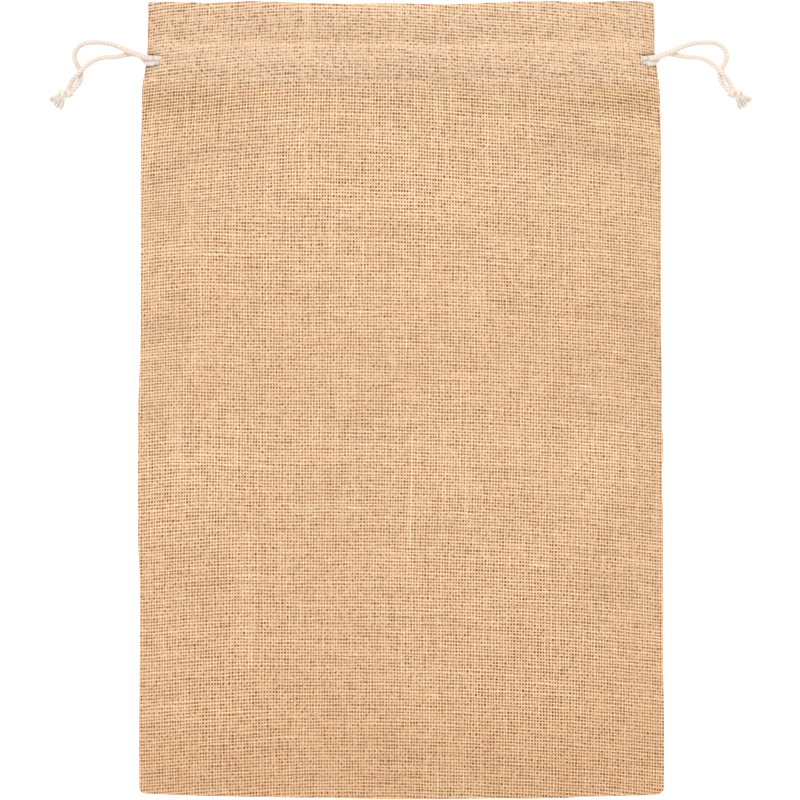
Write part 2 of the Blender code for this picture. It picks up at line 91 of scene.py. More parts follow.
# Depth below the mouth, height of the upper cloth's middle, of its side edge, width of its shoulder.
FRONT_ROWS = (
    (0, 12.1, 4.3, 18), (14, 12.2, 4.2, 18), (20, 12.6, 3.9, 18), (24, 13.4, 3.3, 18.5),
    (27.2, 15.2, 2.5, 19), (34.2, 15.3, EDGE_Z, 19), (41.4, 15.2, EDGE_Z, 19),
    (44.6, 13.5, EDGE_Z, 20), (48, 12.8, EDGE_Z, 21), (62, 11.8, EDGE_Z, 23),
    (95, 11.3, EDGE_Z, 28), (240, 11.5, EDGE_Z, 34), (470, 11, EDGE_Z, 34),
)
# Depth, air between a wall and its hem, how far the hem's ends stay in from the side edge.
HEM_ROWS = (
    (0, LAYER_GAP, 1.5), (14, LAYER_GAP, 4), (20, LAYER_GAP, 12), (24, LAYER_GAP, 19),
    (27.2, CHANNEL_GAP, 21), (41.4, CHANNEL_GAP, 21), (44.6, LAYER_GAP, 21), (60, LAYER_GAP, 21),
)
# Soft folds of the upper cloth: middle x and y, direction in degrees, length, width, rise.
FOLD_ROWS = (
    (-128, 136, 33, 34, 9, -1.4), (-99, 146, 8, 36, 9, -1.1), (127, 136, -33, 34, 9, -1.4),
    (98, 146, -8, 36, 9, -1.1), (-34, 99, 0, 125, 9, -0.9), (92, 97, -2, 50, 9, -0.8),
    (-126, 168, 5, 34, 9, -1.3), (126, 168, -5, 34, 9, -1.3), (-126, 48, 2, 34, 10, -1.2),
    (126, 48, -2, 34, 10, -1.2), (-20, 60, 80, 170, 30, 0.8), (60, -60, 95, 190, 34, 0.7),
    (-75, -110, 70, 140, 26, 0.7),
)
NOTCH_DEPTHS = (31, 37.4)
NOTCH_IN = 7.2
NOTCH_ROUND = 1.0

# The strands of the left cord, from the channel into the knot: x, y, z.
UPPER_STRAND = (
    (-126, 196.9, 13.1), (-131, 196.9, 12.2), (-135, 196.9, 11.3), (-138.5, 196.9, 10.6),
    (-142.5, 197, 9.5), (-146.8, 197.5, 7.2), (-151.8, 199.3, 5.5), (-157, 201.4, 4.4),
    (-162.2, 203.8, 3.2), (-167.4, 205.7, 1.8), (-172.3, 206.5, 1.64), (-177.4, 206.8, 1.64),
    (-181.6, 206.4, 1.64), (-185.4, 204.8, 1.64), (-187.8, 202.2, 1.64), (-188.6, 198.7, 1.64),
    (-187.8, 195.3, 1.64), (-186.2, 192.1, 1.64), (-184.9, 189.2, 1.64), (-184.7, 186, 1.7),
    (-185.7, 183.2, 2.2), (-187.3, 181.2, 2.8), (-189.3, 179.1, 3.1), (-191.4, 177.9, 3.1),
)
LOWER_STRAND = (
    (-126, 193.6, 2.65), (-132.5, 194.1, 5.4), (-136, 194.4, 8.3), (-138.5, 194.4, 9.5),
    (-141.5, 194.2, 9.2), (-144.5, 194.2, 7.3), (-146.8, 195.2, 4.6), (-148.8, 197.4, 2.9),
    (-151.2, 199.2, 1.9), (-154.6, 200, 1.5), (-158.6, 199.5, 1.5), (-162.6, 198.6, 1.5),
    (-166.8, 198.2, 1.5), (-171.4, 198, 1.5), (-175.5, 196.9, 1.7), (-179.5, 194.7, 2.6),
    (-182.1, 192.6, 3.8), (-184.7, 190.1, 4.6), (-187.2, 187.5, 3.9), (-189.6, 184.9, 2.9),
    (-191, 182.4, 2.8), (-191.8, 180.6, 3), (-193.3, 178.2, 3),
)
FREE_FROM = 4  # the point of each strand at which it leaves the sack
# How much thicker a strand is than the cord's size: share of its free length, factor.
UPPER_SWELL = ((0, 1.3), (0.12, 1.3), (0.25, 1.22), (0.45, 1.12), (0.65, 1.22), (0.8, 1.15), (1, 1.1))
RUN_SWELL = ((0, 1.3), (0.014, 1.3), (0.03, 1), (0.97, 1), (0.986, 1.3), (1, 1.3))
LOWER_SWELL = ((0, 1.3), (0.1, 1.25), (0.25, 1.08), (0.5, 1.08), (0.75, 1.15), (1, 1.1))

# The left knot's windings: middle x, y, z, direction of the winding's axis in degrees, radius.
KNOT_WINDINGS = (
    (-190.9, 177.7, 3.3, 36, 1.2), (-192.8, 177, 3.2, 32, 1.3), (-196.2, 176.4, 3.3, 25, 1.9),
)
KNOT_CORE = (-193.2, 177.1, 2.9)
KNOT_CORE_SEMI_AXES = (3.2, 2, 2)
KNOT_CORE_TURN = 24.0
KNOT_CORD = 3.3
TASSEL_ROOT = (-195.7, 176)
TASSEL_ROOT_WIDTH = 3.6
TASSEL_ROOT_WAY = (0.87, -0.48, 0.0)
TASSEL_TIPS = (
    (-203.4, 175.2), (-203.3, 173.2), (-201.4, 170.9), (-198.9, 168.8), (-196.6, 167.5), (-194.2, 169.9),
)
TASSEL_LOCKS = 10
LOCK_THREADS = 11
FLAT_THREADS = 3  # of each lock, those that lie on the table
THREAD_POINTS = 9
WINDING_STEPS = 48
KNOT_START = 0.6
KNOT_HALF_HEIGHT = 1.65
KNOT_TAPER = 1.2
THIN_END = 0.04
SUNK_END = 0.35  # how far in the windings begin and end, and over how many turns they come out
SUNK_TURNS = 0.3

# The cord's three plies, as shares of its size, and its fibres.
CORD_POINTS = 24
PLY_CENTRE = 0.16
PLY_RADIUS = 0.34
PLY_VALLEY = 0.38
FIBRE_LENGTH = 2.2
FIBRES_ROUND = 34.0
ROUTE_STEPS = 12
STRAND_STEP = 0.5
RUN_STEP = 1.1

# The cloth's own sizes and its seams.
# Steps in from the side and up from the foot, then depths down the wall and the hem: fine at the edges.
FROM_SIDE = (0, 0.5, 1.2, 2.2, 3.4, 5.2, NOTCH_IN, 9.4, 12, 15)
FROM_FOOT = (0, 0.5, 1.2, 2.2, 3.4, 5.5, 8, 11)
WALL_DEPTHS = (44.6, 43, 41.4, 39.4, 37.4, 36.2, 34.2, 32.2, 31, 29, 27.2, 25.6, 24, 22, 20)
HEM_DEPTHS = (24, 25.6, 27.2, 29, 34.2, 39.4, 41.4, 43, 44.6, HEM_DEPTH)
FOLD_STEPS = 6
NOTCH_CELLS = FROM_SIDE.index(NOTCH_IN)
FOLD_DEPTH = 2.0
CLOTH_STEP = 4.0
NORMAL_STEP = 0.4
SEAM_CLOSES = (46, 56)
SEAM_DROPS = (0.95, 0.3)
STITCH_DEPTHS = (25.4, 45)
STITCH_INSET = 3.0
FOOT_CORNER_X = 148.0
FOOT_CORNER_Y = -223.5
TURN_LINE_POINTS = 220
SIDE_TURNS = dict(Spacing=0.00187, Radius=0.00062, Thickness=0.00105, Seed=4)
FOOT_TURNS = dict(Spacing=0.00163, Radius=0.00062, Thickness=0.00085, Seed=9)
TURN_INSET = 0.75
TURN_Z = 1.22
STRAY_FIBRES = 90
YARN_SIDES = 6

VIEW_CENTRE = (-0.58, 0.17)
VIEW_WIDTH = 461.8
KEY_PLACE = (-0.35, 1.5, 2.4)
FLOOR = 4000.0

# ---- the weave
WARPS = 186  # yarns along the sack, counted across one panel
# y, distance between two yarns that run across the sack
WEFT_ROWS = (
    (-225, 1.87), (-168, 1.89), (-85, 1.88), (-57, 1.82), (-2, 1.85), (26, 1.77), (53, 1.84), (81, 1.9),
    (109, 1.95), (136, 1.96), (164, 1.88), (220, 1.77),
)
# The line at the left where the yarns change direction and lie closer: y, x.
KINK_ROWS = (
    (-230, -40), (-202, -46), (-167, -80), (-144, -90), (-75, -90), (-66, -103), (-43, -122), (-29, -129),
    (0, -129), (15, -126), (20, -113), (41, -113), (64, -116), (87, -116), (101, -109), (107, -93),
    (116, -67), (127, -54), (179, -54), (230, -54),
)
KINK_BLUR = ((-9, 0.25), (0, 0.5), (9, 0.25))
KINK_WIDTH = 4.0
KINK_CLOSER = 0.35
KINK_CLOSE_WIDTH = 2.4
# Rise of the cross yarns to the right: x, left of the kink in the upper and lower part, right of it.
SLOPE_ROWS = (
    (-152, 0.125, 0.1, -0.06, -0.03), (-142, 0.11, 0.099, -0.06, -0.03), (-119, 0.092, 0.068, -0.06, -0.03),
    (-96, 0.085, 0.058, -0.06, -0.035), (-73, 0.066, 0.05, -0.02, -0.014), (-50, 0.028, 0.03, -0.01, 0),
    (-26, 0.01, 0.01, -0.03, 0), (-3, 0, 0, -0.035, -0.02), (20, 0, 0, -0.075, -0.028),
    (43, 0, 0, -0.07, -0.04), (66, 0, 0, -0.062, -0.056), (89, 0, 0, -0.1, -0.062),
    (112, 0, 0, -0.108, -0.08), (135, 0, 0, -0.118, -0.11), (152, 0, 0, -0.15, -0.13),
)
SLOPE_REACH = 160.0
SLOPE_STEP = 2.0
SLOPES_CHANGE = (75, 125)  # between these heights the lower part's slopes become the upper part's
# The lengthwise yarns' distance from each other: share of the width, upper part, lower part.
WARP_ROWS = (
    (0, 2.64, 2.62), (0.05, 2.7, 2.7), (0.105, 2.8, 2.86), (0.18, 2.86, 3), (0.26, 2.84, 2.94),
    (0.34, 2.82, 2.86), (0.42, 2.83, 2.84), (0.5, 2.83, 2.85), (0.58, 2.83, 2.87), (0.65, 2.84, 2.94),
    (0.73, 2.83, 3), (0.8, 2.8, 3), (0.87, 2.76, 2.88), (0.95, 2.68, 2.71), (1, 2.64, 2.66),
)
WARPS_CHANGE = (-110, -20)
EDGE_DENSITY = 1.07
# Where the outermost lengthwise yarns would run: y, left, right.
WARP_EDGES = (
    (-232, -151, 151), (-60, -151, 151), (90, -150.6, 150.4), (140, -149.8, 149.6), (175, -147.6, 147.6),
    (205, -145.6, 145.6), (232, -144.2, 144.4),
)
# Soft marks, mostly painted shade and light over folds, creases and the notches, a few the cloth's own paler
# yarns: middle x and y, direction in degrees, length, width, amount.
PAINTED_SHADE_AND_LIGHT_ROWS = (
    (0, 226, 0, 330, 9, 0.04), (30, 226, 0, 160, 9, 0.035), (0, 200, 0, 400, 18, 0.012),
    (110, 204, 0, 110, 20, 0.035), (-75, 213, 0, 90, 7, -0.03), (15, 178, 0, 300, 12, 0.02),
    (12, 185, 0, 190, 4.5, -0.06), (-137, 171, 0, 30, 5, -0.05), (137, 171, 0, 30, 5, -0.05),
    (-128, 134.5, 27, 42, 5.5, -0.085), (-97, 145, 6, 52, 6, -0.07), (130, 135.5, -27, 44, 5.5, -0.09),
    (97, 145.5, -8, 52, 6, -0.07), (-144, 148, 0, 14, 9, 0.03), (144, 148, 0, 14, 9, 0.03),
    (-30, 99.4, 0, 130, 2.6, -0.075), (80, 95, 0, 52, 3, -0.05), (-20, 120, 0, 190, 26, 0.02),
    (115, 102, 0, 60, 14, 0.03), (10, 60, 90, 200, 60, 0.012), (-139, 42, 15, 34, 9, -0.07),
    (140, 42, -15, 34, 9, -0.07), (-143, -7, 0, 20, 6, -0.05), (106, -1, -12, 50, 5, -0.045),
    (-20, -6, 20, 34, 14, -0.02), (0, -34, 0, 330, 16, 0.02), (110, -46, 80, 60, 18, 0.025),
    (-116, -48, 80, 60, 16, 0.02), (6, -70, 90, 90, 1.6, 0.06), (-112, -101, 60, 34, 12, -0.045),
    (112, -101, -60, 34, 12, -0.045), (0, -204, 0, 400, 26, -0.045), (0, -150, 0, 400, 60, -0.015),
    (-146, -110, 90, 240, 8, -0.02), (-141, 199.6, 0, 9, 1.3, -0.12), (141, 199.6, 0, 9, 1.3, -0.12),
    (-143.5, 191.6, 0, 8, 1.2, -0.22), (143.5, 191.6, 0, 8, 1.2, -0.22), (0, 173, 0, 330, 9, 0.01),
    (-132, 172, 0, 60, 12, 0.022), (134, 172, 0, 56, 12, 0.04),
)
# How much warmer the jute's colour is at a height on the sack: y, share.
WARMTH_ROWS = (
    (-230, 1), (-205, 0.95), (-185, 0.7), (-165, 0.4), (-140, 0.2), (-75, 0), (-20, -0.25), (20, -0.15),
    (60, -0.2), (95, -0.45), (160, -0.7), (178, -0.85), (190, -0.1), (230, -0.1),
)
# Thick pale stretches of single yarns: middle x and y, direction in degrees, length, width.
SLUB_ROWS = (
    (5.6, -60, 88.4, 120, 1.7), (37.8, -49, 90, 60, 1.3), (104, 75, -13, 18, 2.2), (-22, 84, 90, 24, 1.3),
    (3, 34, 90, 20, 1.3), (-4.6, -97.5, 88, 18, 1.4),
)
# Places where the gaps between the yarns are wider or closer, given in the same way.
GAP_ROWS = (
    (-2, 218, 0, 400, 14, -0.08), (-2, 204, 0, 400, 2.6, -0.3), (-2, 197, 0, 400, 9, -0.2),
    (-2, 184, 0, 400, 2.2, -0.3), (-95, 200, 0, 90, 12, -0.14), (110, 200, 0, 90, 12, -0.1),
    (-2, 173, 0, 330, 9, 0.34), (-132, 172, 0, 60, 12, 0.45), (134, 172, 0, 56, 12, 0.55),
    (10, 229, 0, 210, 5, -0.25), (25, 211, 0, 160, 4, 0.2),
)
HEM_GAPS = 0.8
DOUBLED_FROM = (180, 188)

# ---- colours
STRAW = (0.905, 0.620, 0.408)
PALE_STRAW = (1.000, 0.790, 0.582)
TAN = (0.625, 0.375, 0.218)
# Painted shade: the shaded inside of the sack, as seen through the gaps between the yarns
GAP_SHADE_RED = (0.178, 0.036, 0.000)
GAP_SHADE_OLIVE = (0.150, 0.045, 0.000)
YARN_STOPS = ((0.15, TAN), (0.5, STRAW), (0.7, PALE_STRAW))
CORD_STOPS = ((0.3, (0.72, 0.62, 0.53)), (0.5, (0.80, 0.71, 0.62)), (0.7, (0.86, 0.79, 0.71)))
FLUFF_STOPS = ((0.3, (0.72, 0.62, 0.53)), (0.5, (0.80, 0.715, 0.63)), (0.7, (0.87, 0.80, 0.72)))
# Red, green and blue: change with the hue's swing, in doubled cloth, with warmth and on slubs.
TINT_ROWS = ((0.0, -0.045, 0.0, 0.0), (0.035, 0.0, -0.05, 0.04), (0.05, 0.13, -0.095, 0.13))
COTTON_BASE = (0.85, 0.3)
COTTON_ROUGH = (0.78, 0.92)
FLUFF = dict(
    base=COTTON_BASE, fine=(0.0009, 6.0), broad=(0.006, 4.0), fine_share=0.5, rough=COTTON_ROUGH, bumps=0.5,
)
YARN = dict(
    base=(0.88, 0.1), fine=(0.0012, 5.0), broad=(0.02, 8.0), fine_share=0.6, rough=(0.8, 0.95), bumps=0.6,
)


# ---- form
def smooth_rows(rows, at):
    """A table's columns at values of its first one, along a curve with no overshoot."""
    table = np.array(rows, dtype=float)
    keys, values = table[:, 0], table[:, 1:]
    at = np.clip(np.asarray(at, dtype=float), keys[0], keys[-1])
    secants = np.diff(values, axis=0) / np.diff(keys)[:, None]
    slopes = np.zeros_like(values)
    same_way = secants[1:] * secants[:-1] > 0
    mean = 2 * secants[1:] * secants[:-1] / np.where(same_way, secants[1:] + secants[:-1], 1)
    slopes[1:-1] = np.where(same_way, mean, 0)
    i = np.clip(np.searchsorted(keys, at) - 1, 0, len(keys) - 2)
    step = (keys[i + 1] - keys[i])[..., None]
    t = (at - keys[i])[..., None] / step
    row = (
        values[i] * (1 + 2 * t) * (1 - t) ** 2
        + slopes[i] * step * t * (1 - t) ** 2
        + values[i + 1] * t * t * (3 - 2 * t)
        - slopes[i + 1] * step * t * t * (1 - t)
    )
    return np.moveaxis(row, -1, 0)


def eased(value, low, high):
    t = np.clip((value - low) / (high - low), 0, 1)
    return t * t * (3 - 2 * t)


def crown(inward, width):
    return 1 - (1 - np.clip(inward / width, 0, 1)) ** CROWN_POWER


def soft_marks(rows, x, y):
    """The sum of long soft marks, each strongest along its middle line."""
    rise = np.zeros_like(x)
    for middle_x, middle_y, direction, length, width, height in rows:
        turn = radians(direction)
        along = (x - middle_x) * cos(turn) + (y - middle_y) * sin(turn)
        aside = (y - middle_y) * cos(turn) - (x - middle_x) * sin(turn)
        rise += height * np.exp(-((aside / width) ** 2) - (2 * along / length) ** 4)
    return rise


def front_height(x, y):
    """Height of the front wall's middle thickness."""
    left, right = smooth_rows(SIDE_ROWS, y)
    depth = smooth_rows(MOUTH_ROWS, x)[0] - y
    up_from_foot = y - smooth_rows(FOOT_ROWS, x)[0]
    flat, edge, shoulder = smooth_rows(FRONT_ROWS, depth)
    share = crown(np.minimum(x - left, right - x), shoulder) * crown(up_from_foot, FOOT_SHOULDER)
    return edge + (flat + soft_marks(FOLD_ROWS, x, y) - edge) * share


def back_height(x, y):
    """The back wall lies flat on the table."""
    return np.full_like(x, CLOTH / 2)


def across(shares, y, inset=0.0):
    left, right = smooth_rows(SIDE_ROWS, y)
    return left + inset + shares * (right - left - 2 * inset)


def placed(height, shares, y, inset=0.0):
    """Points over a panel at shares of its width."""
    x = across(shares, y, inset)
    return np.stack([x, y, height(x, y)], axis=-1)


def raised(height, row, rise):
    """Points moved off a panel along its normals."""
    x, y = row[:, 0], row[:, 1]
    rise_x = (height(x + NORMAL_STEP, y) - height(x - NORMAL_STEP, y)) / (2 * NORMAL_STEP)
    rise_y = (height(x, y + NORMAL_STEP) - height(x, y - NORMAL_STEP)) / (2 * NORMAL_STEP)
    normal = np.stack([-rise_x, -rise_y, np.ones_like(x)], axis=-1)
    return row + rise * (normal / np.linalg.norm(normal, axis=-1, keepdims=True))


def below_mouth(shares, depth):
    """The y that is a depth below the mouth, at shares of the width."""
    return smooth_rows(MOUTH_ROWS, across(shares, np.full_like(shares, MOUTH_Y)))[0] - depth


def body_row(height, shares, up_from_foot):
    guess = across(shares, np.zeros_like(shares))
    foot = smooth_rows(FOOT_ROWS, guess)[0]
    top = smooth_rows(MOUTH_ROWS, guess)[0] - HEM_LINE
    rise = max(CORNER_RADIUS - up_from_foot, 0)
    inset = CORNER_RADIUS - sqrt(CORNER_RADIUS ** 2 - rise ** 2)
    return placed(height, shares, foot + up_from_foot / CLOTH_ABOVE_HEM_LINE * (top - foot), inset)


def fold_row(height, shares, turn, inward):
    """On the fold at the mouth, which turns half a circle from the wall to the hem."""
    radius = (CLOTH + LAYER_GAP) / 2
    depth = radius + CLOTH / 2
    inset = smooth_rows(HEM_ROWS, depth)[1] * turn / pi
    row = placed(height, shares, below_mouth(shares, depth), inset)
    row[:, 1] += radius * sin(turn)
    row[:, 2] += inward * radius * (1 - cos(turn))
    return row


def hem_row(height, shares, depth, inward):
    """On the folded hem: the wall, moved into the sack along its normal."""
    gap, inset = smooth_rows(HEM_ROWS, depth)
    return raised(height, placed(height, shares, below_mouth(shares, depth), inset), inward * (CLOTH + gap))


def steps_to(start, stops):
    """Even steps from a start to the first of some stops, and then the stops."""
    count = max(2, round(abs(stops[0] - start) / CLOTH_STEP) + 1)
    return [*np.linspace(start, stops[0], count)[1:-1], *stops]


def cloth_grid(height, inward):
    """Points over one panel, row by row: up its wall, round the mouth's fold and down the hem."""
    from_side = [*FROM_SIDE, *steps_to(FROM_SIDE[-1], [CLOTH_WIDTH / 2])]
    left = [step / CLOTH_WIDTH for step in from_side]
    shares = np.array(left + [1 - share for share in reversed(left[:-1])])
    ups = [*FROM_FOOT, *steps_to(FROM_FOOT[-1], [CLOTH_ABOVE_HEM_LINE])]
    depths = [*steps_to(HEM_LINE, WALL_DEPTHS), *steps_to(WALL_DEPTHS[-1], [FOLD_DEPTH])]
    rows = [body_row(height, shares, up) for up in ups]
    rows += [placed(height, shares, below_mouth(shares, depth)) for depth in depths]
    rows += [fold_row(height, shares, pi * k / FOLD_STEPS, inward) for k in range(FOLD_STEPS + 1)]
    first_hem = len(rows)
    hems = [FOLD_DEPTH, *steps_to(FOLD_DEPTH, HEM_DEPTHS)]
    rows += [hem_row(height, shares, depth, inward) for depth in hems]
    return np.array(rows), ups, depths, first_hem


# ---- meshes
def in_scene(name, data):
    """A new object at the origin."""
    made = bpy.data.objects.new(name, data)
    bpy.context.scene.collection.objects.link(made)
    return made


def new_mesh(name, points, edges, faces):
    """Points in millimetres."""
    mesh = bpy.data.meshes.new(name)
    mesh.from_pydata((np.asarray(points, dtype=float) * MM).tolist(), edges, faces)
    return mesh


def new_piece(name, points, faces, material):
    mesh = new_mesh(name, points, [], faces)
    mesh.materials.append(material)
    mesh.shade_smooth()
    return in_scene(name, mesh)


def give_values(mesh, name, values):
    """A number of its own for each point of a mesh."""
    mesh.attributes.new(name, "FLOAT", "POINT").data.foreach_set("value", values.ravel())


def plain_mesh(piece):
    """Turns a piece with modifiers into the plain mesh that they make."""
    graph = bpy.context.evaluated_depsgraph_get()
    shaped = piece.evaluated_get(graph)
    mesh = bpy.data.meshes.new_from_object(shaped, preserve_all_data_layers=True, depsgraph=graph)
    piece.modifiers.clear()
    piece.data = mesh
    return piece


def on_sack(piece, node):
    """Hands a finished piece over: what it rides on and the node that it stands for, which it hides."""
    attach(piece, "root")
    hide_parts(node)
    return piece


def weft_count(y):
    """Number of cross yarns from the foot up to a height on the sack."""
    places = np.linspace(-260, 260, 2081)
    counts = np.cumsum(1 / smooth_rows(WEFT_ROWS, places)[0]) * (places[1] - places[0])
    return np.interp(y, places, counts)


def weft_rise(x, y):
    """How far a cross yarn has risen at x, from where it crosses the middle of the sack."""
    places = np.arange(-SLOPE_REACH, SLOPE_REACH + SLOPE_STEP, SLOPE_STEP)
    left_up, left_down, right_up, right_down = (row[:, None] for row in smooth_rows(SLOPE_ROWS, places))
    rise = np.zeros_like(x)
    for shift, weight in KINK_BLUR:
        kinks = smooth_rows(KINK_ROWS, y + shift)[0]
        for row, (kink, up) in enumerate(zip(kinks, eased(y, *SLOPES_CHANGE))):
            past = 1 / (1 + np.exp(-(places[:, None] - kink) / KINK_WIDTH))
            left = left_down * (1 - up) + left_up * up
            right = right_down * (1 - up) + right_up * up
            total = np.cumsum(left * (1 - past) + right * past, axis=0) * SLOPE_STEP
            total -= total[len(places) // 2]
            at = (x[row] + SLOPE_REACH) / SLOPE_STEP
            low = at.astype(int)
            column = np.arange(len(at))
            over = at - low
            rise[row] += weight * (total[low, column] * (1 - over) + total[low + 1, column] * over)
    return rise


def warp_count(x, y):
    """Number of lengthwise yarns from the left edge."""
    left, right = smooth_rows(WARP_EDGES, y)
    share = (x - left) / (right - left)
    places = np.linspace(0, 1, 201)
    counts = []
    for pitch in smooth_rows(WARP_ROWS, places):
        count = np.concatenate([[0], np.cumsum(1 / pitch[1:])])
        count = count / count[-1] * WARPS
        beyond = (share - np.clip(share, 0, 1)) * WARPS * EDGE_DENSITY
        counts.append(np.interp(share, places, count) + beyond)
    upper = eased(y, *WARPS_CHANGE)
    return counts[1] * (1 - upper) + counts[0] * upper


def cloth_piece(name, grid, first_hem, material, notched, side):
    """A woven sheet over a grid, with its yarn counts as a UV map, its soft patches, its painted shade and
    light marks and its notched rows.
    """
    rows, columns = grid.shape[:2]
    x, y = grid[..., 0], grid[..., 1]
    warp = warp_count(x, y)
    weft = weft_count(y - weft_rise(x, y))
    middle = first_hem - FOLD_STEPS // 2
    weft[middle:] = 2 * weft[middle - 1][None, :] - weft[middle:]
    kink = smooth_rows(KINK_ROWS, y)[0]
    gaps = 1 + soft_marks(GAP_ROWS, x, y) - KINK_CLOSER * np.exp(-(((x - kink) / KINK_CLOSE_WIDTH) ** 2))
    gaps[first_hem:] = HEM_GAPS
    cells = [
        r * columns + c for r in range(rows - 1) for c in range(columns - 1)
        if r not in notched or min(c, columns - 2 - c) >= NOTCH_CELLS
    ]
    faces = [(k, k + 1, k + columns + 1, k + columns)[::side] for k in cells]
    piece = new_piece(name, grid.reshape(-1, 3), faces, material)
    mesh = piece.data
    loops = np.empty(len(mesh.loops), dtype=int)
    mesh.loops.foreach_get("vertex_index", loops)
    even = [(counts - counts.min()) / np.ptp(counts) for counts in (warp, weft)]
    for layer, u, v in (("OFBake", *even), ("yarns", warp, weft)):
        uv = np.stack([u.ravel()[loops], v.ravel()[loops]], axis=-1)
        mesh.uv_layers.new(name=layer).data.foreach_set("uv", uv.ravel())
    # tone: the painted shade and light marks, by which the material darkens and lightens the cloth
    give_values(mesh, "tone", soft_marks(PAINTED_SHADE_AND_LIGHT_ROWS, x, y))
    give_values(mesh, "gaps", gaps)
    give_values(mesh, "doubled", eased(y, *DOUBLED_FROM))
    give_values(mesh, "warmth", smooth_rows(WARMTH_ROWS, y)[0])
    bm = bmesh.new()
    bm.from_mesh(mesh)
    bmesh.ops.delete(bm, geom=[v for v in bm.verts if not v.link_faces], context="VERTS")
    bm.to_mesh(mesh)
    bm.free()
    thickness = piece.modifiers.new("cloth", "SOLIDIFY")
    thickness.thickness = WOVEN * MM
    thickness.offset = 0.0
    return plain_mesh(piece)


# ---- nodes
def sums(operation):
    return lambda *values: calc(operation, *values)


class Value:
    """An output of a node. Sums with it are new nodes of its tree; `scaled` is by a factor and then more."""

    __add__, __sub__, __mul__ = sums("ADD"), sums("SUBTRACT"), sums("MULTIPLY")
    __truediv__, __pow__, scaled = sums("DIVIDE"), sums("POWER"), sums("MULTIPLY_ADD")

    def __init__(self, tree, socket):
        self.tree, self.socket = tree, socket

    def __getitem__(self, name):
        """Another output of the same node."""
        return Value(self.tree, self.socket.node.outputs[name])


def join(tree, node, *values, **named):
    """Gives a node its inputs, in order or by name: other nodes' outputs or plain values."""
    inputs = [s for s in node.inputs if s.enabled]
    pairs = list(zip(inputs, values))
    for name, value in named.items():
        pairs.append(([s for s in inputs if s.name == name.replace("_", " ")][0], value))
    for socket, value in pairs:
        if isinstance(value, Value):
            tree.links.new(value.socket, socket)
        else:
            socket.default_value = value


def add_node(kind, *values, tree=None, **named):
    """A new node's first output. Settings have small names, inputs capital ones."""
    tree = tree or next(v.tree for v in (*values, *named.values()) if isinstance(v, Value))
    node = tree.nodes.new(kind)
    for name in [name for name in named if name.islower()]:
        setattr(node, name, named.pop(name))
    join(tree, node, *values, **named)
    return Value(tree, [s for s in node.outputs if s.enabled][0])


def calc(operation, *values, kind="Math", **settings):
    return add_node("ShaderNode" + kind, *values, operation=operation, **settings)


def vector_calc(operation, *values):
    return calc(operation, *values, kind="VectorMath")


def ramped(value, low, high, out_low=0.0, out_high=1.0):
    """A value brought smoothly from one range into another."""
    ranges = (low, high, out_low, out_high)
    return add_node("ShaderNodeMapRange", value, *ranges, interpolation_type="SMOOTHSTEP")


def blended(factor, first, second, kind="RGBA", blend="MIX"):
    return add_node("ShaderNodeMix", factor, first, second, data_type=kind, blend_type=blend)


def vector_of(x, y=0.0, z=0.0):
    return add_node("ShaderNodeCombineXYZ", x, y, z)


def noise_at(place, detail=0.0, roughness=0.5):
    return add_node("ShaderNodeTexNoise", Vector=place, Scale=1.0, Detail=detail, Roughness=roughness)


def colour_between(value, *stops):
    """A colour ramp: (place, linear colour) stops."""
    made = add_node("ShaderNodeValToRGB", value)
    ramp = made.socket.node.color_ramp
    while len(ramp.elements) < len(stops):
        ramp.elements.new(0.5)
    for element, (place, colour) in zip(ramp.elements, stops):
        element.position = place
        element.color = (*colour, 1.0)
    return made


def bump_of(height, distance, strength):
    return add_node("ShaderNodeBump", Height=height, Distance=distance, Strength=strength)


def use_group(tree, group, **values):
    return add_node("ShaderNodeGroup", tree=tree, node_tree=group, **values)


def point_value(tree, name):
    """A number that a piece's points carry."""
    return add_node("ShaderNodeAttribute", tree=tree, attribute_name=name)["Fac"]


def start_tree(name, kind, **inputs):
    """A node group's inputs with their defaults; a tree of shapes has geometry and a material too."""
    tree = bpy.data.node_groups.new(name, kind + "NodeTree")
    for bare in ("Geometry", "Material") if kind == "Geometry" else ():
        tree.interface.new_socket(bare, in_out="INPUT", socket_type="NodeSocket" + bare)
    for label, value in inputs.items():
        socket_type = "NodeSocket" + {float: "Float", int: "Int", tuple: "Vector"}[type(value)]
        socket = tree.interface.new_socket(label.replace("_", " "), in_out="INPUT", socket_type=socket_type)
        socket.default_value = value
    return Value(tree, tree.nodes.new("NodeGroupInput").outputs[0])


def end_tree(**outputs):
    """A node group, finished with its outputs."""
    for label, value in outputs.items():
        tree = value.tree
        socket_type = "NodeSocketGeometry" if value.socket.type == "GEOMETRY" else "NodeSocketFloat"
        tree.interface.new_socket(label, in_out="OUTPUT", socket_type=socket_type)
    join(tree, tree.nodes.new("NodeGroupOutput"), **outputs)
    return tree


# ---- the weave and other patterns
def yarn_noise(number, along, each, slow, seed, detail=0.0):
    """Noise that differs from yarn to yarn and changes slowly along each of them."""
    return noise_at(vector_of(number * each, along * slow, seed), detail)


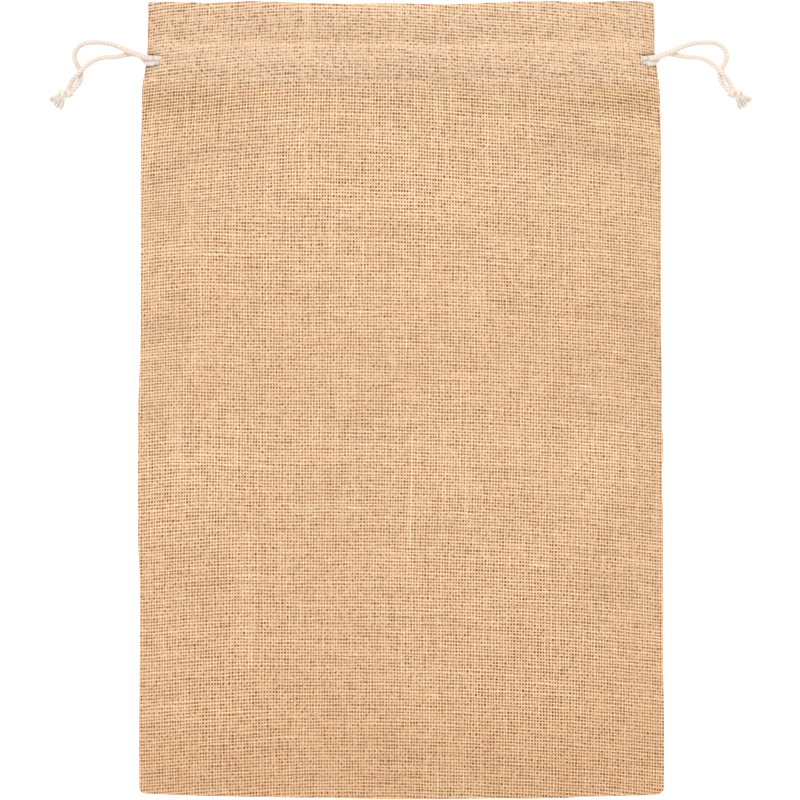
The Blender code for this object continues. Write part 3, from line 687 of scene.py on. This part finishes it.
def plain_weave():
    """Yarns over and under each other, from their counts."""
    given = start_tree(
        "plain_weave", "Shader", Warp=0.0, Weft=0.0, Warp_Width=0.6, Weft_Width=0.6, Unevenness=0.3,
        Gaps=1.0, Doubled=0.0,
    )
    # Each yarn wanders a little from its even place.
    moved = []
    for number, along, seed, way in (("Warp", "Weft", 1.0, 0.62), ("Weft", "Warp", 4.0, 0.75)):
        shift = yarn_noise(given[number], given[along], 0.45, 0.07, seed, 1.0) - 0.5
        moved.append(shift.scaled(way, given[number]))
    warp, weft = moved
    i, j = calc("FLOOR", warp), calc("FLOOR", weft)
    from_warp, from_weft = warp - i - 0.5, weft - j - 0.5
    # It is thick and thin, has slubs and a tone of its own.
    closer = given["Gaps"].scaled(-0.35, 1.35)
    widths, tones, slubs = [], [], []
    for number, along, width, seed in ((i, weft, "Warp Width", 3.1), (j, warp, "Weft Width", 17.7)):
        uneven = (yarn_noise(number, along, 7.31, 0.13, seed, 2.0) - 0.5) * given["Unevenness"]
        slubs.append(ramped(yarn_noise(number, along, 7.9, 0.06, seed + 38.0), 0.75, 0.97))
        widths.append(given[width] * (uneven + slubs[-1].scaled(0.10, 0.5)) * closer)
        tones.append(yarn_noise(number, along, 3.77, 0.02, seed + 5.0))
    # It goes over one yarn and under the next, and is round across.
    sign = calc("FLOORED_MODULO", i + j, 2.0).scaled(-2.0, 1.0)
    shares = [calc("ABSOLUTE", off) / half for off, half in zip((from_warp, from_weft), widths)]
    heights = []
    for share, other, way in zip(shares, (from_weft, from_warp), (0.8, -0.8)):
        round_top = calc("SQRT", calc("MAXIMUM", (share * share).scaled(-1.0, 1.0), 0.0))
        wave = calc("COSINE", other * pi) * (sign * way)
        heights.append(round_top * 0.8 + wave + ramped(share, 0.9, 1.12, 0.0, -2.0))
    lengthwise = calc("GREATER_THAN", *heights)
    # How clear each gap is: by chance, by what lies beneath doubled cloth, by its row and its column.
    column, row = calc("ROUND", warp), calc("ROUND", weft)
    turned = calc("FLOORED_MODULO", column + row, 2.0)
    own = add_node("ShaderNodeTexWhiteNoise", Vector=vector_of(column, row), noise_dimensions="2D")
    chance = vector_calc("DOT_PRODUCT", own["Color"], (0.27, 0.27, 0.27))
    doubled = given["Doubled"]
    clear = (chance - 0.405).scaled(doubled.scaled(0.7, 1.0), 0.36)
    for columns_share, rows_share in ((0.37, 0.11), (-0.13, 0.41)):
        turns = row.scaled(rows_share, column * columns_share)
        beneath = calc("COSINE", turns * (2 * pi))
        clear = beneath.scaled(0.07, -0.015).scaled(doubled, clear)
    for number, along, seed in ((row, column, 21.0), (column, row, 27.0)):
        clear = yarn_noise(number, along, 0.77, 0.05, seed).scaled(0.33, clear)
    clear = clear + turned.scaled(0.12, 0.065)
    clear = calc("MINIMUM", calc("MAXIMUM", clear, 0.04), 1.25)
    low = clear.scaled(-0.46, 1.16)
    high = low + 0.20
    gap = ramped(shares[0], low, high) * ramped(shares[1], low, high) * clear
    # Fibres run along whichever yarn is on top.
    place = vector_of(warp * lengthwise.scaled(1.6, 1.6), weft * lengthwise.scaled(-1.6, 3.2), 2.0)
    fibre = noise_at(place, 2.0, 0.6)
    top = calc("MAXIMUM", calc("MAXIMUM", *heights), -1.0)
    return end_tree(
        Height=fibre.scaled(0.35, top), Gap=gap, Fibre=fibre,
        Tone=blended(lengthwise, tones[1], tones[0], "FLOAT"),
        Slub=blended(lengthwise, slubs[1], slubs[0], "FLOAT"),
    )


def soft_mottle():
    """Slow changes of tone over a piece, by its place on the sack."""
    given = start_tree("soft_mottle", "Shader", Size=0.04, Seed=0.0)
    place = add_node("ShaderNodeTexCoord", tree=given.tree)["Object"]
    seed = given["Seed"]
    wide = vector_calc("SCALE", place, calc("DIVIDE", 1.0, given["Size"]))
    moved = vector_calc("ADD", wide, vector_of(seed, seed, seed))
    parts = add_node("ShaderNodeSeparateColor", noise_at(moved, 3.0, 0.55)["Color"])
    return end_tree(Value=parts["Red"], Second=parts["Green"])


def soft_streak():
    """One long soft streak at a place on the sack."""
    given = start_tree("soft_streak", "Shader", Middle=(0.0,) * 3, Way=(0.0,) * 3, Length=0.05, Width=0.001)
    place = add_node("ShaderNodeTexCoord", tree=given.tree)["Object"]
    off = vector_calc("SUBTRACT", place, given["Middle"])
    along = vector_calc("DOT_PRODUCT", off, given["Way"])
    turned = vector_calc("CROSS_PRODUCT", off, given["Way"])
    aside = add_node("ShaderNodeSeparateXYZ", turned)["Z"]
    near, middle = (
        ramped(calc("ABSOLUTE", distance) / size, 0.15, 0.5, 1.0, 0.0)
        for distance, size in ((along, given["Length"]), (aside, given["Width"]))
    )
    return end_tree(Value=near * middle)


# ---- materials
def finish_material(material, **inputs):
    join(material.node_tree, material.node_tree.nodes["Principled BSDF"], **inputs)
    return material


def start_material(name, roughness, sheen, glint=0.1):
    material = bpy.data.materials.new(name)
    material.use_nodes = True
    return finish_material(
        material, Roughness=roughness, Metallic=0.0, Specular_IOR_Level=glint, Sheen_Weight=sheen,
        Sheen_Roughness=0.6,
    )


def jute_cloth(name, weave, mottle, streak):
    """Woven jute, from the piece's yarn counts and soft patches, with painted light and shade on the yarns
    and in the gaps.
    """
    material = start_material(name, 0.9, 0.0, 0.02)
    tree = material.node_tree
    axes = add_node("ShaderNodeSeparateXYZ", add_node("ShaderNodeUVMap", tree=tree, uv_map="yarns"))
    tone, gaps, doubled, warmth = (point_value(tree, part) for part in ("tone", "gaps", "doubled", "warmth"))
    woven = use_group(
        tree, weave, Warp=axes["X"], Weft=axes["Y"], Warp_Width=0.55, Weft_Width=0.59, Unevenness=0.30,
        Gaps=gaps, Doubled=doubled,
    )
    broad = use_group(tree, mottle, Size=0.045, Seed=3.0)
    small = use_group(tree, mottle, Size=0.006, Seed=11.0)
    slub = woven["Slub"]
    for middle_x, middle_y, direction, length, width in SLUB_ROWS:
        turn = radians(direction)
        one = use_group(
            tree, streak, Middle=(middle_x * MM, middle_y * MM, 0.0), Length=length * MM, Width=width * MM,
            Way=(cos(turn), sin(turn), 0.0),
        )
        slub = calc("MAXIMUM", slub, one["Value"] * 0.65)
    mixed = woven["Tone"] * 0.4 + woven["Fibre"].scaled(2.8, -1.1)
    yarn = colour_between(slub.scaled(0.30, mixed), (0.0, TAN), (0.5, STRAW), (1.0, PALE_STRAW))
    # The yarns' painted light and shade by their height; the cloth's painted shade and light marks (tone) and
    # its own random patches.
    lit = ramped(woven["Height"], -0.5, 1.1, 0.855, 0.98)
    cloud = ramped(broad["Value"], 0.3, 0.7, 0.99, 1.01)
    speck = ramped(small["Value"], 0.3, 0.7, 0.985, 1.015)
    level = cloud * speck * (tone + 1.0) * slub.scaled(0.02, 1.0)
    hue = ramped(small["Second"], 0.3, 0.7, -0.5, 0.5)
    tint = []
    for swing, paler, warmer, whiter in TINT_ROWS:
        share = warmth.scaled(warmer, hue * swing + doubled.scaled(paler, 1.0))
        tint.append(level * slub.scaled(whiter, share))
    # Painted shade: the deeper between the yarns, the darker and redder, and the gaps painted the colour of
    # the shaded inside that shows through them.
    open_gap = calc("MULTIPLY", woven["Gap"], ramped(gaps, 0.0, 1.0, 0.35, 1.0), use_clamp=True)
    depth = open_gap * slub.scaled(-0.6, 1.0)
    redder_shade = depth * doubled.scaled(-0.26, -0.72)
    blue = lit ** doubled.scaled(1.2, 3.2) * (redder_shade + 1.0)
    warm_shade = vector_of(lit ** 0.3, lit ** 1.5, blue)
    shaded = blended(1.0, blended(1.0, yarn, vector_of(*tint), blend="MULTIPLY"), warm_shade, blend="MULTIPLY")
    gap_shade_colour = blended(ramped(small["Second"], 0.35, 0.65), (*GAP_SHADE_RED, 1.0), (*GAP_SHADE_OLIVE, 1.0))
    return finish_material(
        material, Base_Color=blended(depth, shaded, gap_shade_colour), Normal=bump_of(woven["Height"], 0.0005, 0.8),
        Roughness=ramped(woven["Fibre"], 0.2, 0.8, 0.82, 0.96),
    )


def loose_fibres(name, mottle, stops, base, fine, broad, fine_share, rough, bumps):
    """Loose yarn or thread, coloured by fine and broad clouds of a size and seed each."""
    material = start_material(name, *base)
    fine = use_group(material.node_tree, mottle, Size=fine[0], Seed=fine[1])
    broad = use_group(material.node_tree, mottle, Size=broad[0], Seed=broad[1])
    value = fine["Value"] * fine_share + broad["Value"] * (1 - fine_share)
    return finish_material(
        material, Base_Color=colour_between(value, *stops), Normal=bump_of(fine["Value"], 0.0001, bumps),
        Roughness=ramped(fine["Second"], 0.2, 0.8, *rough),
    )


def cotton_cord(name, mottle):
    """Off-white cotton, with fine fibres along each ply and painted shade in the valleys between the plies.
    """
    material = start_material(name, *COTTON_BASE)
    tree = material.node_tree
    fibres = noise_at(add_node("ShaderNodeUVMap", tree=tree, uv_map="plies"), 3.0, 0.6)
    broad = use_group(tree, mottle, Size=0.006, Seed=2.0)
    pale = colour_between(fibres * 0.6 + broad["Value"] * 0.4, *CORD_STOPS)
    # painted shade: darker in the valleys between the plies, by their depth
    shade = ramped(point_value(tree, "ply_depth"), 0.0, 0.6, 0.80, 1.0)
    valley_shade = vector_of(shade, shade ** 1.25, shade ** 1.55)
    return finish_material(
        material, Base_Color=blended(1.0, pale, valley_shade, blend="MULTIPLY"),
        Roughness=ramped(fibres, 0.2, 0.8, *COTTON_ROUGH), Normal=bump_of(fibres, 0.00025, 0.7),
    )


def studio_floor(name, mottle):
    material = start_material(name, 0.7, 0.0)
    cloud = use_group(material.node_tree, mottle, Size=0.5, Seed=1.0)
    return finish_material(
        material, Base_Color=colour_between(cloud["Value"], (0.3, (0.90,) * 3), (0.7, (0.93,) * 3)),
        Roughness=ramped(cloud["Second"], 0.3, 0.7, 0.65, 0.75), Emission_Color=(1.0,) * 4,
        Emission_Strength=0.3,
    )


# ---- repeating pieces
def end_shape(given, shape):
    real = add_node("GeometryNodeRealizeInstances", add_node("GeometryNodeSetShadeSmooth", shape))
    return end_tree(Geometry=add_node("GeometryNodeSetMaterial", real, Material=given["Material"]))


def thread_along(given, line, sides, **more):
    """A round thread along a curve, as thick as the tree's input says."""
    outline = add_node("GeometryNodeCurvePrimitiveCircle", Resolution=sides, Radius=given["Thickness"] * 0.5)
    return add_node("GeometryNodeCurveToMesh", Curve=line, Profile_Curve=outline, Fill_Caps=True, **more)


def line_of(given):
    return add_node("GeometryNodeMeshToCurve", given["Geometry"])


def along_line(given, thread, turn, uneven):
    """One thread again and again along a line, each turned and of a slightly other size."""
    places = add_node("GeometryNodeResampleCurve", line_of(given), Length=given["Spacing"], mode="LENGTH")
    return end_shape(given, add_node(
        "GeometryNodeInstanceOnPoints", places, Instance=thread, Rotation=turn, Scale=uneven,
    ))


def turned_by(tangent, second, axes):
    """A rotation that lays one axis along a line and another near to a second direction."""
    return add_node(
        "FunctionNodeAxesToRotation", Primary_Axis=tangent, Secondary_Axis=second, primary_axis=axes[0],
        secondary_axis=axes[1],
    )


def random_in(low, high, seed):
    return add_node("FunctionNodeRandomValue", Min=low, Max=high, Seed=seed, data_type="FLOAT_VECTOR")


def round_threads():
    """Threads round every line of a mesh, as thick as its own "width" says."""
    given = start_tree("round_threads", "Geometry", Thickness=0.0003, Sides=4)
    width = add_node("GeometryNodeInputNamedAttribute", tree=given.tree, Name="width")
    return end_shape(given, thread_along(given, line_of(given), given["Sides"], Scale=width))


def yarn_turns():
    """Yarns that turn round an edge, one after another along a line."""
    given = start_tree("yarn_turns", "Geometry", Spacing=0.0019, Radius=0.0007, Thickness=0.0011, Seed=1)
    half_turn = add_node(
        "GeometryNodeCurveArc", Resolution=YARN_SIDES, Radius=given["Radius"], Start_Angle=-pi / 2,
        Sweep_Angle=pi,
    )
    tangent = add_node("GeometryNodeInputTangent", tree=given.tree)
    outwards = vector_calc("CROSS_PRODUCT", tangent, (0.0, 0.0, 1.0))
    uneven = random_in((0.75, 0.92, 0.8), (1.12, 1.08, 1.15), given["Seed"])
    yarn = thread_along(given, half_turn, YARN_SIDES)
    return along_line(given, yarn, turned_by(tangent, outwards, "ZX"), uneven)


def stitch_row():
    """A row of stitches on a line: each dips into the cloth at both its ends."""
    given = start_tree(
        "stitch_row", "Geometry", Spacing=0.0036, Length=0.0028, Thickness=0.0006, Rise=0.0004, Seed=1,
    )
    half, dip = given["Length"] * 0.5, given["Rise"] * -1.0
    arch = add_node(
        "GeometryNodeCurveQuadraticBezier", Resolution=YARN_SIDES, Start=vector_of(half * -1.0, 0.0, dip),
        Middle=vector_of(0.0, 0.0, given["Rise"]), End=vector_of(half, 0.0, dip),
    )
    tangent = add_node("GeometryNodeInputTangent", tree=given.tree)
    slant = add_node("FunctionNodeEulerToRotation", random_in((0, 0, -0.12), (0, 0, 0.12), given["Seed"]))
    turn = turned_by(tangent, (0.0, 0.0, 1.0), "XZ")
    turned = add_node("FunctionNodeRotateRotation", Rotation=turn, Rotate_By=slant, rotation_space="LOCAL")
    uneven = random_in((0.85, 0.85, 0.9), (1.1, 1.15, 1.1), given["Seed"] + 7.0)
    return along_line(given, thread_along(given, arch, YARN_SIDES), turned, uneven)


def lines_piece(name, lines, material, tree, widths=None, **inputs):
    """A piece that a tree makes along lines of points."""
    edges, first = [], 0
    for line in lines:
        edges += [(first + k, first + k + 1) for k in range(len(line) - 1)]
        first += len(line)
    mesh = new_mesh(name, np.concatenate(lines), edges, [])
    if widths is not None:
        give_values(mesh, "width", np.concatenate(widths))
    piece = in_scene(name, mesh)
    maker = piece.modifiers.new(name, "NODES")
    maker.node_group = tree
    sockets = {item.name: item.identifier for item in tree.interface.items_tree if item.in_out == "INPUT"}
    for label, value in (("Material", material), *inputs.items()):
        maker[sockets[label]] = value
    return plain_mesh(piece)


# ---- the cords
def through_points(points):
    """A dense smooth line through a route's points."""
    points = np.asarray(points, dtype=float)
    ends = np.concatenate([[2 * points[0] - points[1]], points, [2 * points[-1] - points[-2]]])
    line = []
    for before, here, there, after in zip(ends, ends[1:], ends[2:], ends[3:]):
        for k in range(ROUTE_STEPS):
            t = k / ROUTE_STEPS
            line.append(0.5 * (
                2 * here + (there - before) * t + (2 * before - 5 * here + 4 * there - after) * t * t
                + (3 * here - before - 3 * there + after) * t ** 3
            ))
    return np.array(line + [points[-1]])


def lengths_along(line):
    return np.concatenate([[0], np.cumsum(np.linalg.norm(np.diff(line, axis=0), axis=1))])


def even_steps(line, step):
    """Points along a line, the given step apart, with both its ends."""
    along = lengths_along(line)
    wanted = np.linspace(0, along[-1], max(2, round(along[-1] / step) + 1))
    return np.stack([np.interp(wanted, along, line[:, k]) for k in range(3)], axis=-1)


def mirrored(points, side):
    """Left-hand places, or their mirror image on the right."""
    points = np.array(points, dtype=float)
    if side == "right":
        points[..., 0] = 2 * MIRROR_X - points[..., 0]
    return points


def frames_along(line):
    """A side and an up for each point of a line, which turn as little as they can."""
    tangents = np.gradient(line, axis=0)
    tangents /= np.linalg.norm(tangents, axis=1)[:, None]
    side = np.array([0.0, 0.0, -1.0])
    sides = []
    for tangent in tangents:
        side = side - tangent * side.dot(tangent)
        side = side / np.linalg.norm(side)
        sides.append(side)
    return np.array(sides), np.cross(tangents, sides)


def ply_reach(angles, size):
    """How far the outside of three plies is from the cord's middle, all round."""
    from_ply = (np.degrees(angles) % 120.0 - 60.0) * pi / 180.0
    ply_at, ply_radius = PLY_CENTRE * size, PLY_RADIUS * size
    inside = np.maximum(ply_radius ** 2 - (ply_at * np.sin(from_ply)) ** 2, 0)
    return np.maximum(ply_at * np.cos(from_ply) + np.sqrt(inside), PLY_VALLEY * size)


def twisted_cord(name, line, material, way, size=CORD, swell=None, taper=0.0):
    """Three plies laid round each other along a line, with the plies' own UV map."""
    sides, ups = frames_along(line)
    along = lengths_along(line)
    angles = np.linspace(0, 2 * pi, CORD_POINTS + 1)
    reach = ply_reach(angles, size)
    around = angles[None, :] + (way * 2 * pi * along / (CORD_LAY * size / CORD))[:, None]
    from_end = np.minimum(along, along[-1] - along)
    wider = np.ones_like(along) if taper == 0.0 else np.sqrt(np.clip(from_end / taper, THIN_END, 1))
    if swell:
        wider = wider * smooth_rows(swell, along / along[-1])[0]
    spread = sides[:, None, :] * np.cos(around)[..., None] + ups[:, None, :] * np.sin(around)[..., None]
    rings = line[:, None, :] + wider[:, None, None] * reach[None, :, None] * spread
    count = len(line)
    rows = np.repeat(np.arange(count - 1), CORD_POINTS)
    columns = np.tile(np.arange(CORD_POINTS), count - 1)
    corners = ((0, 0), (0, 1), (1, 1), (1, 0))  # steps on and round to the corners of a face
    faces = [(rows + on) * CORD_POINTS + (columns + over) % CORD_POINTS for on, over in corners]
    faces = np.stack(faces, axis=-1)
    first_ring = list(range(CORD_POINTS))
    caps = [first_ring[::-1], [(count - 1) * CORD_POINTS + k for k in first_ring]]
    piece = new_piece(name, rings[:, :-1].reshape(-1, 3), faces.tolist() + caps, material)
    mesh = piece.data
    plies = np.zeros((len(mesh.loops), 2))
    for corner, (on, over) in enumerate(corners):
        own = slice(corner, 4 * len(faces), 4)
        plies[own, 0] = (along / FIBRE_LENGTH)[rows + on]
        plies[own, 1] = (around / (2 * pi) * FIBRES_ROUND)[rows + on, columns + over]
    mesh.uv_layers.new(name="plies").data.foreach_set("uv", plies.ravel())
    # ply_depth: how far out a point lies from the valleys between the plies, by which the cord's material
    # paints shade in them
    share = (reach[:-1] - reach.min()) / np.ptp(reach)
    give_values(mesh, "ply_depth", np.tile(share, count))
    return piece


def hidden_run(side):
    """A cord's way through the front channel, round its far end and back through the back one."""
    way = WAYS[side]
    turn_y = MOUTH_Y - TURN_DEPTH[side]
    left, right = smooth_rows(SIDE_ROWS, turn_y)
    turn_x = right - TURN_FROM_SIDE if side == "left" else left + TURN_FROM_SIDE
    middle_z = (RUN_Z_FRONT + RUN_Z_BACK) / 2
    radius = (RUN_Z_FRONT - RUN_Z_BACK) / 2
    angles = [pi * (0.5 - k / TURN_PARTS) for k in range(TURN_PARTS + 1)]
    turn = [(turn_x + way * radius * cos(a), turn_y, middle_z + radius * sin(a)) for a in angles]
    sagging_x, straight_x = turn_x - way * SAG_FROM_TURN, turn_x - way * STRAIGHT_FROM_TURN
    front, back = (
        [(sagging_x, turn_y - way * sag, z), (straight_x, turn_y, z)]
        for sag, z in ((SAG_FRONT, RUN_Z_FRONT), (SAG_BACK, RUN_Z_BACK))
    )
    return front + turn + back[::-1]


def make_drawcord(side, material):
    """One cord's run inside the channel and its two free strands, of which it gives the pieces and lines."""
    leaves = FREE_FROM * ROUTE_STEPS
    upper, lower = (through_points(mirrored(route, side)) for route in (UPPER_STRAND, LOWER_STRAND))
    ends = upper[[ROUTE_STEPS, 0]], lower[[0, ROUTE_STEPS]]
    between = through_points(np.concatenate([ends[0], hidden_run(side), ends[1]]))
    between = between[ROUTE_STEPS:-ROUTE_STEPS]
    inner = np.concatenate([upper[leaves:0:-1], between, lower[1:leaves + 1]])
    made = []
    for name, line, step, swell in (
        ("run", inner, RUN_STEP, RUN_SWELL), ("upper", upper[leaves:], STRAND_STEP, UPPER_SWELL),
        ("lower", lower[leaves:], STRAND_STEP, LOWER_SWELL),
    ):
        line = even_steps(line, step)
        piece = twisted_cord(f"cord_{side}_{name}", line, material, WAYS[side], swell=swell)
        made.append((on_sack(piece, "drawcord_" + side), line * MM))
    return made[1:]


# ---- knots and tassels
def make_knot(side, material, thread):
    """Turns of the cord wound tightly round a core."""
    rows = np.array(KNOT_WINDINGS, dtype=float)
    turns = np.linspace(0, len(rows), len(rows) * WINDING_STEPS + 1)
    at = np.clip(turns - 0.5, 0, len(rows) - 1)
    x, y, z, direction, radius = (np.interp(at, np.arange(len(rows)), rows[:, k]) for k in range(5))
    facing = np.radians(direction)
    phase = 2 * pi * turns + KNOT_START
    from_end = np.minimum(turns, len(rows) - turns)
    radius = radius * (SUNK_END + (1 - SUNK_END) * eased(from_end, 0, SUNK_TURNS))
    line = np.stack([
        x - radius * np.sin(facing) * np.cos(phase),
        y + radius * np.cos(facing) * np.cos(phase),
        z + np.minimum(radius, KNOT_HALF_HEIGHT) * np.sin(phase),
    ], axis=-1)
    line = even_steps(mirrored(line, side), STRAND_STEP)
    wraps = twisted_cord(f"knot_{side}_wraps", line, material, WAYS[side], size=KNOT_CORD, taper=KNOT_TAPER)
    ball = bmesh.new()
    bmesh.ops.create_icosphere(ball, subdivisions=3, radius=1.0)
    shape = Matrix.Rotation(radians(KNOT_CORE_TURN), 4, "Z") @ Matrix.Diagonal((*KNOT_CORE_SEMI_AXES, 1))
    points = mirrored([shape @ v.co + Vector(KNOT_CORE) for v in ball.verts], side)
    faces = [tuple(v.index for v in face.verts)[:: WAYS[side]] for face in ball.faces]
    ball.free()
    core = new_piece(f"knot_{side}_core", points, faces, thread)
    return [on_sack(piece, "knot_" + side) for piece in (wraps, core)]


def make_tassel(side, material, tree):
    """The cord's frayed end: fine threads that fan out and droop onto the table."""
    rng = np.random.default_rng(11)
    tips = through_points([(*tip, 0.0) for tip in TASSEL_TIPS])
    lines, widths = [], []
    lock_lengths = rng.uniform(0.95, 1.03, TASSEL_LOCKS)
    for k in range(TASSEL_LOCKS * LOCK_THREADS):
        lock, thread = k % TASSEL_LOCKS, k // TASSEL_LOCKS
        loose = thread >= FLAT_THREADS
        off = rng.uniform(-1, 1)
        lift = sqrt(1 - off * off) if loose else 0.0
        share = (lock + 0.5 + (0.26 if loose else 0.5) * off) / TASSEL_LOCKS
        root = np.array([*TASSEL_ROOT, 0.0]) + (share - 0.5) * TASSEL_ROOT_WIDTH * np.array(TASSEL_ROOT_WAY)
        out = (tips[round(share * (len(tips) - 1))] - root) * lock_lengths[lock] * rng.uniform(0.93, 1.0)
        sideways = np.array([out[1], -out[0], 0.0]) / np.linalg.norm(out)
        t = np.linspace(0, 1, THREAD_POINTS)[:, None]
        high, low = 1.3 + 2.2 * lift, 0.3 + 1.0 * lift
        line = root + out * t
        line[:, 2] = (high + (low - high) * t * t * (3 - 2 * t))[:, 0]
        bow = rng.normal(0, 0.15) * np.sin(pi * t) + rng.normal(0, 0.06) * np.sin(3 * pi * t)
        lines.append(mirrored(line + bow * sideways, side))
        widths.append(np.linspace(0.9, 1.05, THREAD_POINTS) * rng.uniform(0.7, 1.3))
    tassel = lines_piece("tassel_" + side, lines, material, tree, widths, Thickness=0.00042, Sides=5)
    return on_sack(tassel, "knot_" + side)


# ---- the cloth
def close_seam(grid, ups, depths):
    """Brings the upper cloth's edges down to the lower cloth, except at the channel and the mouth."""
    seam = np.zeros(len(grid))
    seam[:len(ups)] = 1
    seam[len(ups):len(ups) + len(depths)] = eased(np.array(depths), *SEAM_CLOSES)
    for place, drop in enumerate(SEAM_DROPS):
        for column in (place, -1 - place):
            grid[:, column, 2] -= drop * seam
        grid[place, 2:-2, 2] -= drop


def make_cloth(which, height, inward, material):
    """One panel's cloth. The front one has a notch at each side and is closed onto the back one."""
    grid, ups, depths, first_hem = cloth_grid(height, inward)
    notched = ()
    if which == "front":
        upper, lower = (len(ups) + depths.index(depth) for depth in NOTCH_DEPTHS)
        notched = range(lower, upper)
        grid[lower + 1:upper, NOTCH_CELLS, 0] += NOTCH_ROUND
        grid[lower + 1:upper, -1 - NOTCH_CELLS, 0] -= NOTCH_ROUND
        close_seam(grid, ups, depths)
    cloth = cloth_piece(which + "_cloth", grid, first_hem, material, notched, -inward)
    return on_sack(cloth, which + "_panel")


def make_stitches(height, which, lift, material, tree, **sizes):
    """The channel's two sewn lines."""
    inset = STITCH_INSET / CLOTH_WIDTH
    shares = np.linspace(0, 1, 201)
    shares = shares[(shares > inset) & (shares < 1 - inset)]
    made = []
    for k, depth in enumerate(STITCH_DEPTHS):
        line = raised(height, placed(height, shares, below_mouth(shares, depth)), lift)
        row = lines_piece(f"{which}_stitches_{k + 1}", [line], material, tree, Seed=3 + k, **sizes)
        made.append(on_sack(row, which + "_panel"))
    return made


def make_turns(material, tree):
    """The yarns' turns along the sides and the foot, which scallop them."""
    y = np.linspace(FOOT_CORNER_Y, MOUTH_Y - HEM_DEPTH - 4.0, TURN_LINE_POINTS)
    left, right = smooth_rows(SIDE_ROWS, y)
    z = np.full_like(y, TURN_Z)
    ripple = 0.16 * (np.sin(0.93 * y) + np.sin(0.57 * y + 1.3) + np.sin(0.31 * y + 0.4))
    x = np.linspace(-FOOT_CORNER_X, FOOT_CORNER_X, TURN_LINE_POINTS)
    foot = smooth_rows(FOOT_ROWS, x)[0]
    right_side = np.stack([right - TURN_INSET + ripple, y, z], axis=-1)
    left_side = np.stack([left + TURN_INSET - ripple[::-1], y, z], axis=-1)[::-1]
    below = np.stack([x, foot + TURN_INSET, z], axis=-1)
    sides = lines_piece("side_turns", [right_side, left_side], material, tree, **SIDE_TURNS)
    end = lines_piece("foot_turns", [below], material, tree, **FOOT_TURNS)
    return [on_sack(piece, "front_panel") for piece in (sides, end)]


def make_stray_fibres(material, tree):
    """A few loose fibres that lie on the cloth and stand out from its edges."""
    rng = np.random.default_rng(5)
    lines, widths = [], []
    for k in range(STRAY_FIBRES):
        if k % 3:
            x, y = rng.uniform(-140, 140), rng.uniform(-222, 222)
        else:
            y = rng.uniform(-222, 222)
            left, right = smooth_rows(SIDE_ROWS, y)
            x = float(left) + 1.0 if k % 2 else float(right) - 1.0
        heading = rng.uniform(0, 2 * pi)
        length = rng.uniform(2.0, 7.0)
        bend = rng.normal(0, 0.5)
        t = np.linspace(0, 1, THREAD_POINTS)
        path_x = x + np.cumsum(np.cos(heading + bend * t)) * length / THREAD_POINTS
        path_y = y + np.cumsum(np.sin(heading + bend * t)) * length / THREAD_POINTS
        left, right = smooth_rows(SIDE_ROWS, path_y)
        cloth = front_height(np.clip(path_x, left + 0.5, right - 0.5), path_y)
        lines.append(np.stack([path_x, path_y, cloth + 0.5 + 0.5 * np.sin(pi * t)], axis=-1))
        widths.append(np.linspace(1.0, 0.4, THREAD_POINTS) * rng.uniform(0.7, 1.4))
    fibres = lines_piece("stray_fibres", lines, material, tree, widths, Thickness=0.00016, Sides=3)
    return on_sack(fibres, "front_panel")


# ---- camera and light
def make_camera():
    """High above the sack, which fills the picture as VIEW_WIDTH says."""
    data = bpy.data.cameras.new("camera")
    data.lens = 250.0
    data.clip_end = 50.0
    camera = in_scene("camera", data)
    above = data.lens / data.sensor_width * VIEW_WIDTH * MM + 0.002
    camera.location = (VIEW_CENTRE[0] * MM, VIEW_CENTRE[1] * MM, above)
    bpy.context.scene.camera = camera


def make_light():
    """A white room and one large lamp beyond the mouth."""
    world = bpy.data.worlds.new("studio")
    world.use_nodes = True
    join(world.node_tree, world.node_tree.nodes["Background"], (1.0,) * 4, 1.0)
    bpy.context.scene.world = world
    data = bpy.data.lights.new("key", "AREA")
    data.shape = "DISK"
    data.size = 1.2
    data.energy = 26.0
    light = in_scene("key", data)
    light.location = KEY_PLACE
    light.rotation_euler = (-Vector(KEY_PLACE)).to_track_quat("-Z", "Y").to_euler()
    bpy.context.scene.view_settings.view_transform = "Standard"


def make_floor(mottle):
    corners = [(-FLOOR, -FLOOR, 0), (FLOOR, -FLOOR, 0), (FLOOR, FLOOR, 0), (-FLOOR, FLOOR, 0)]
    mesh = new_mesh("floor", corners, [], [(0, 1, 2, 3)])
    mesh.materials.append(studio_floor("studio_floor", mottle))
    in_scene("floor", mesh)


# ---- the sack
def main():
    make_camera()
    weave, mottle = plain_weave(), soft_mottle()
    cotton = cotton_cord("cotton_cord", mottle)
    fluff = loose_fibres("cotton_thread", mottle, FLUFF_STOPS, **FLUFF)
    thread_tree = round_threads()
    for side in WAYS:
        strands = make_drawcord(side, cotton)
        knot = [*make_knot(side, cotton, fluff), make_tassel(side, fluff, thread_tree)]
    woven = jute_cloth("jute_cloth", weave, mottle, soft_streak())
    yarn = loose_fibres("jute_yarn", mottle, YARN_STOPS, **YARN)
    front = make_cloth("front", front_height, -1, woven)
    back = make_cloth("back", back_height, 1, woven)
    stitch_tree = stitch_row()
    on_front = make_stitches(front_height, "front", WOVEN / 2 + 0.1, yarn, stitch_tree)
    on_back = make_stitches(back_height, "back", -0.28, yarn, stitch_tree, Thickness=0.00035, Rise=0.00002)
    on_front += make_turns(yarn, yarn_turns())
    on_front.append(make_stray_fibres(yarn, thread_tree))
    make_floor(mottle)
    make_light()


main()
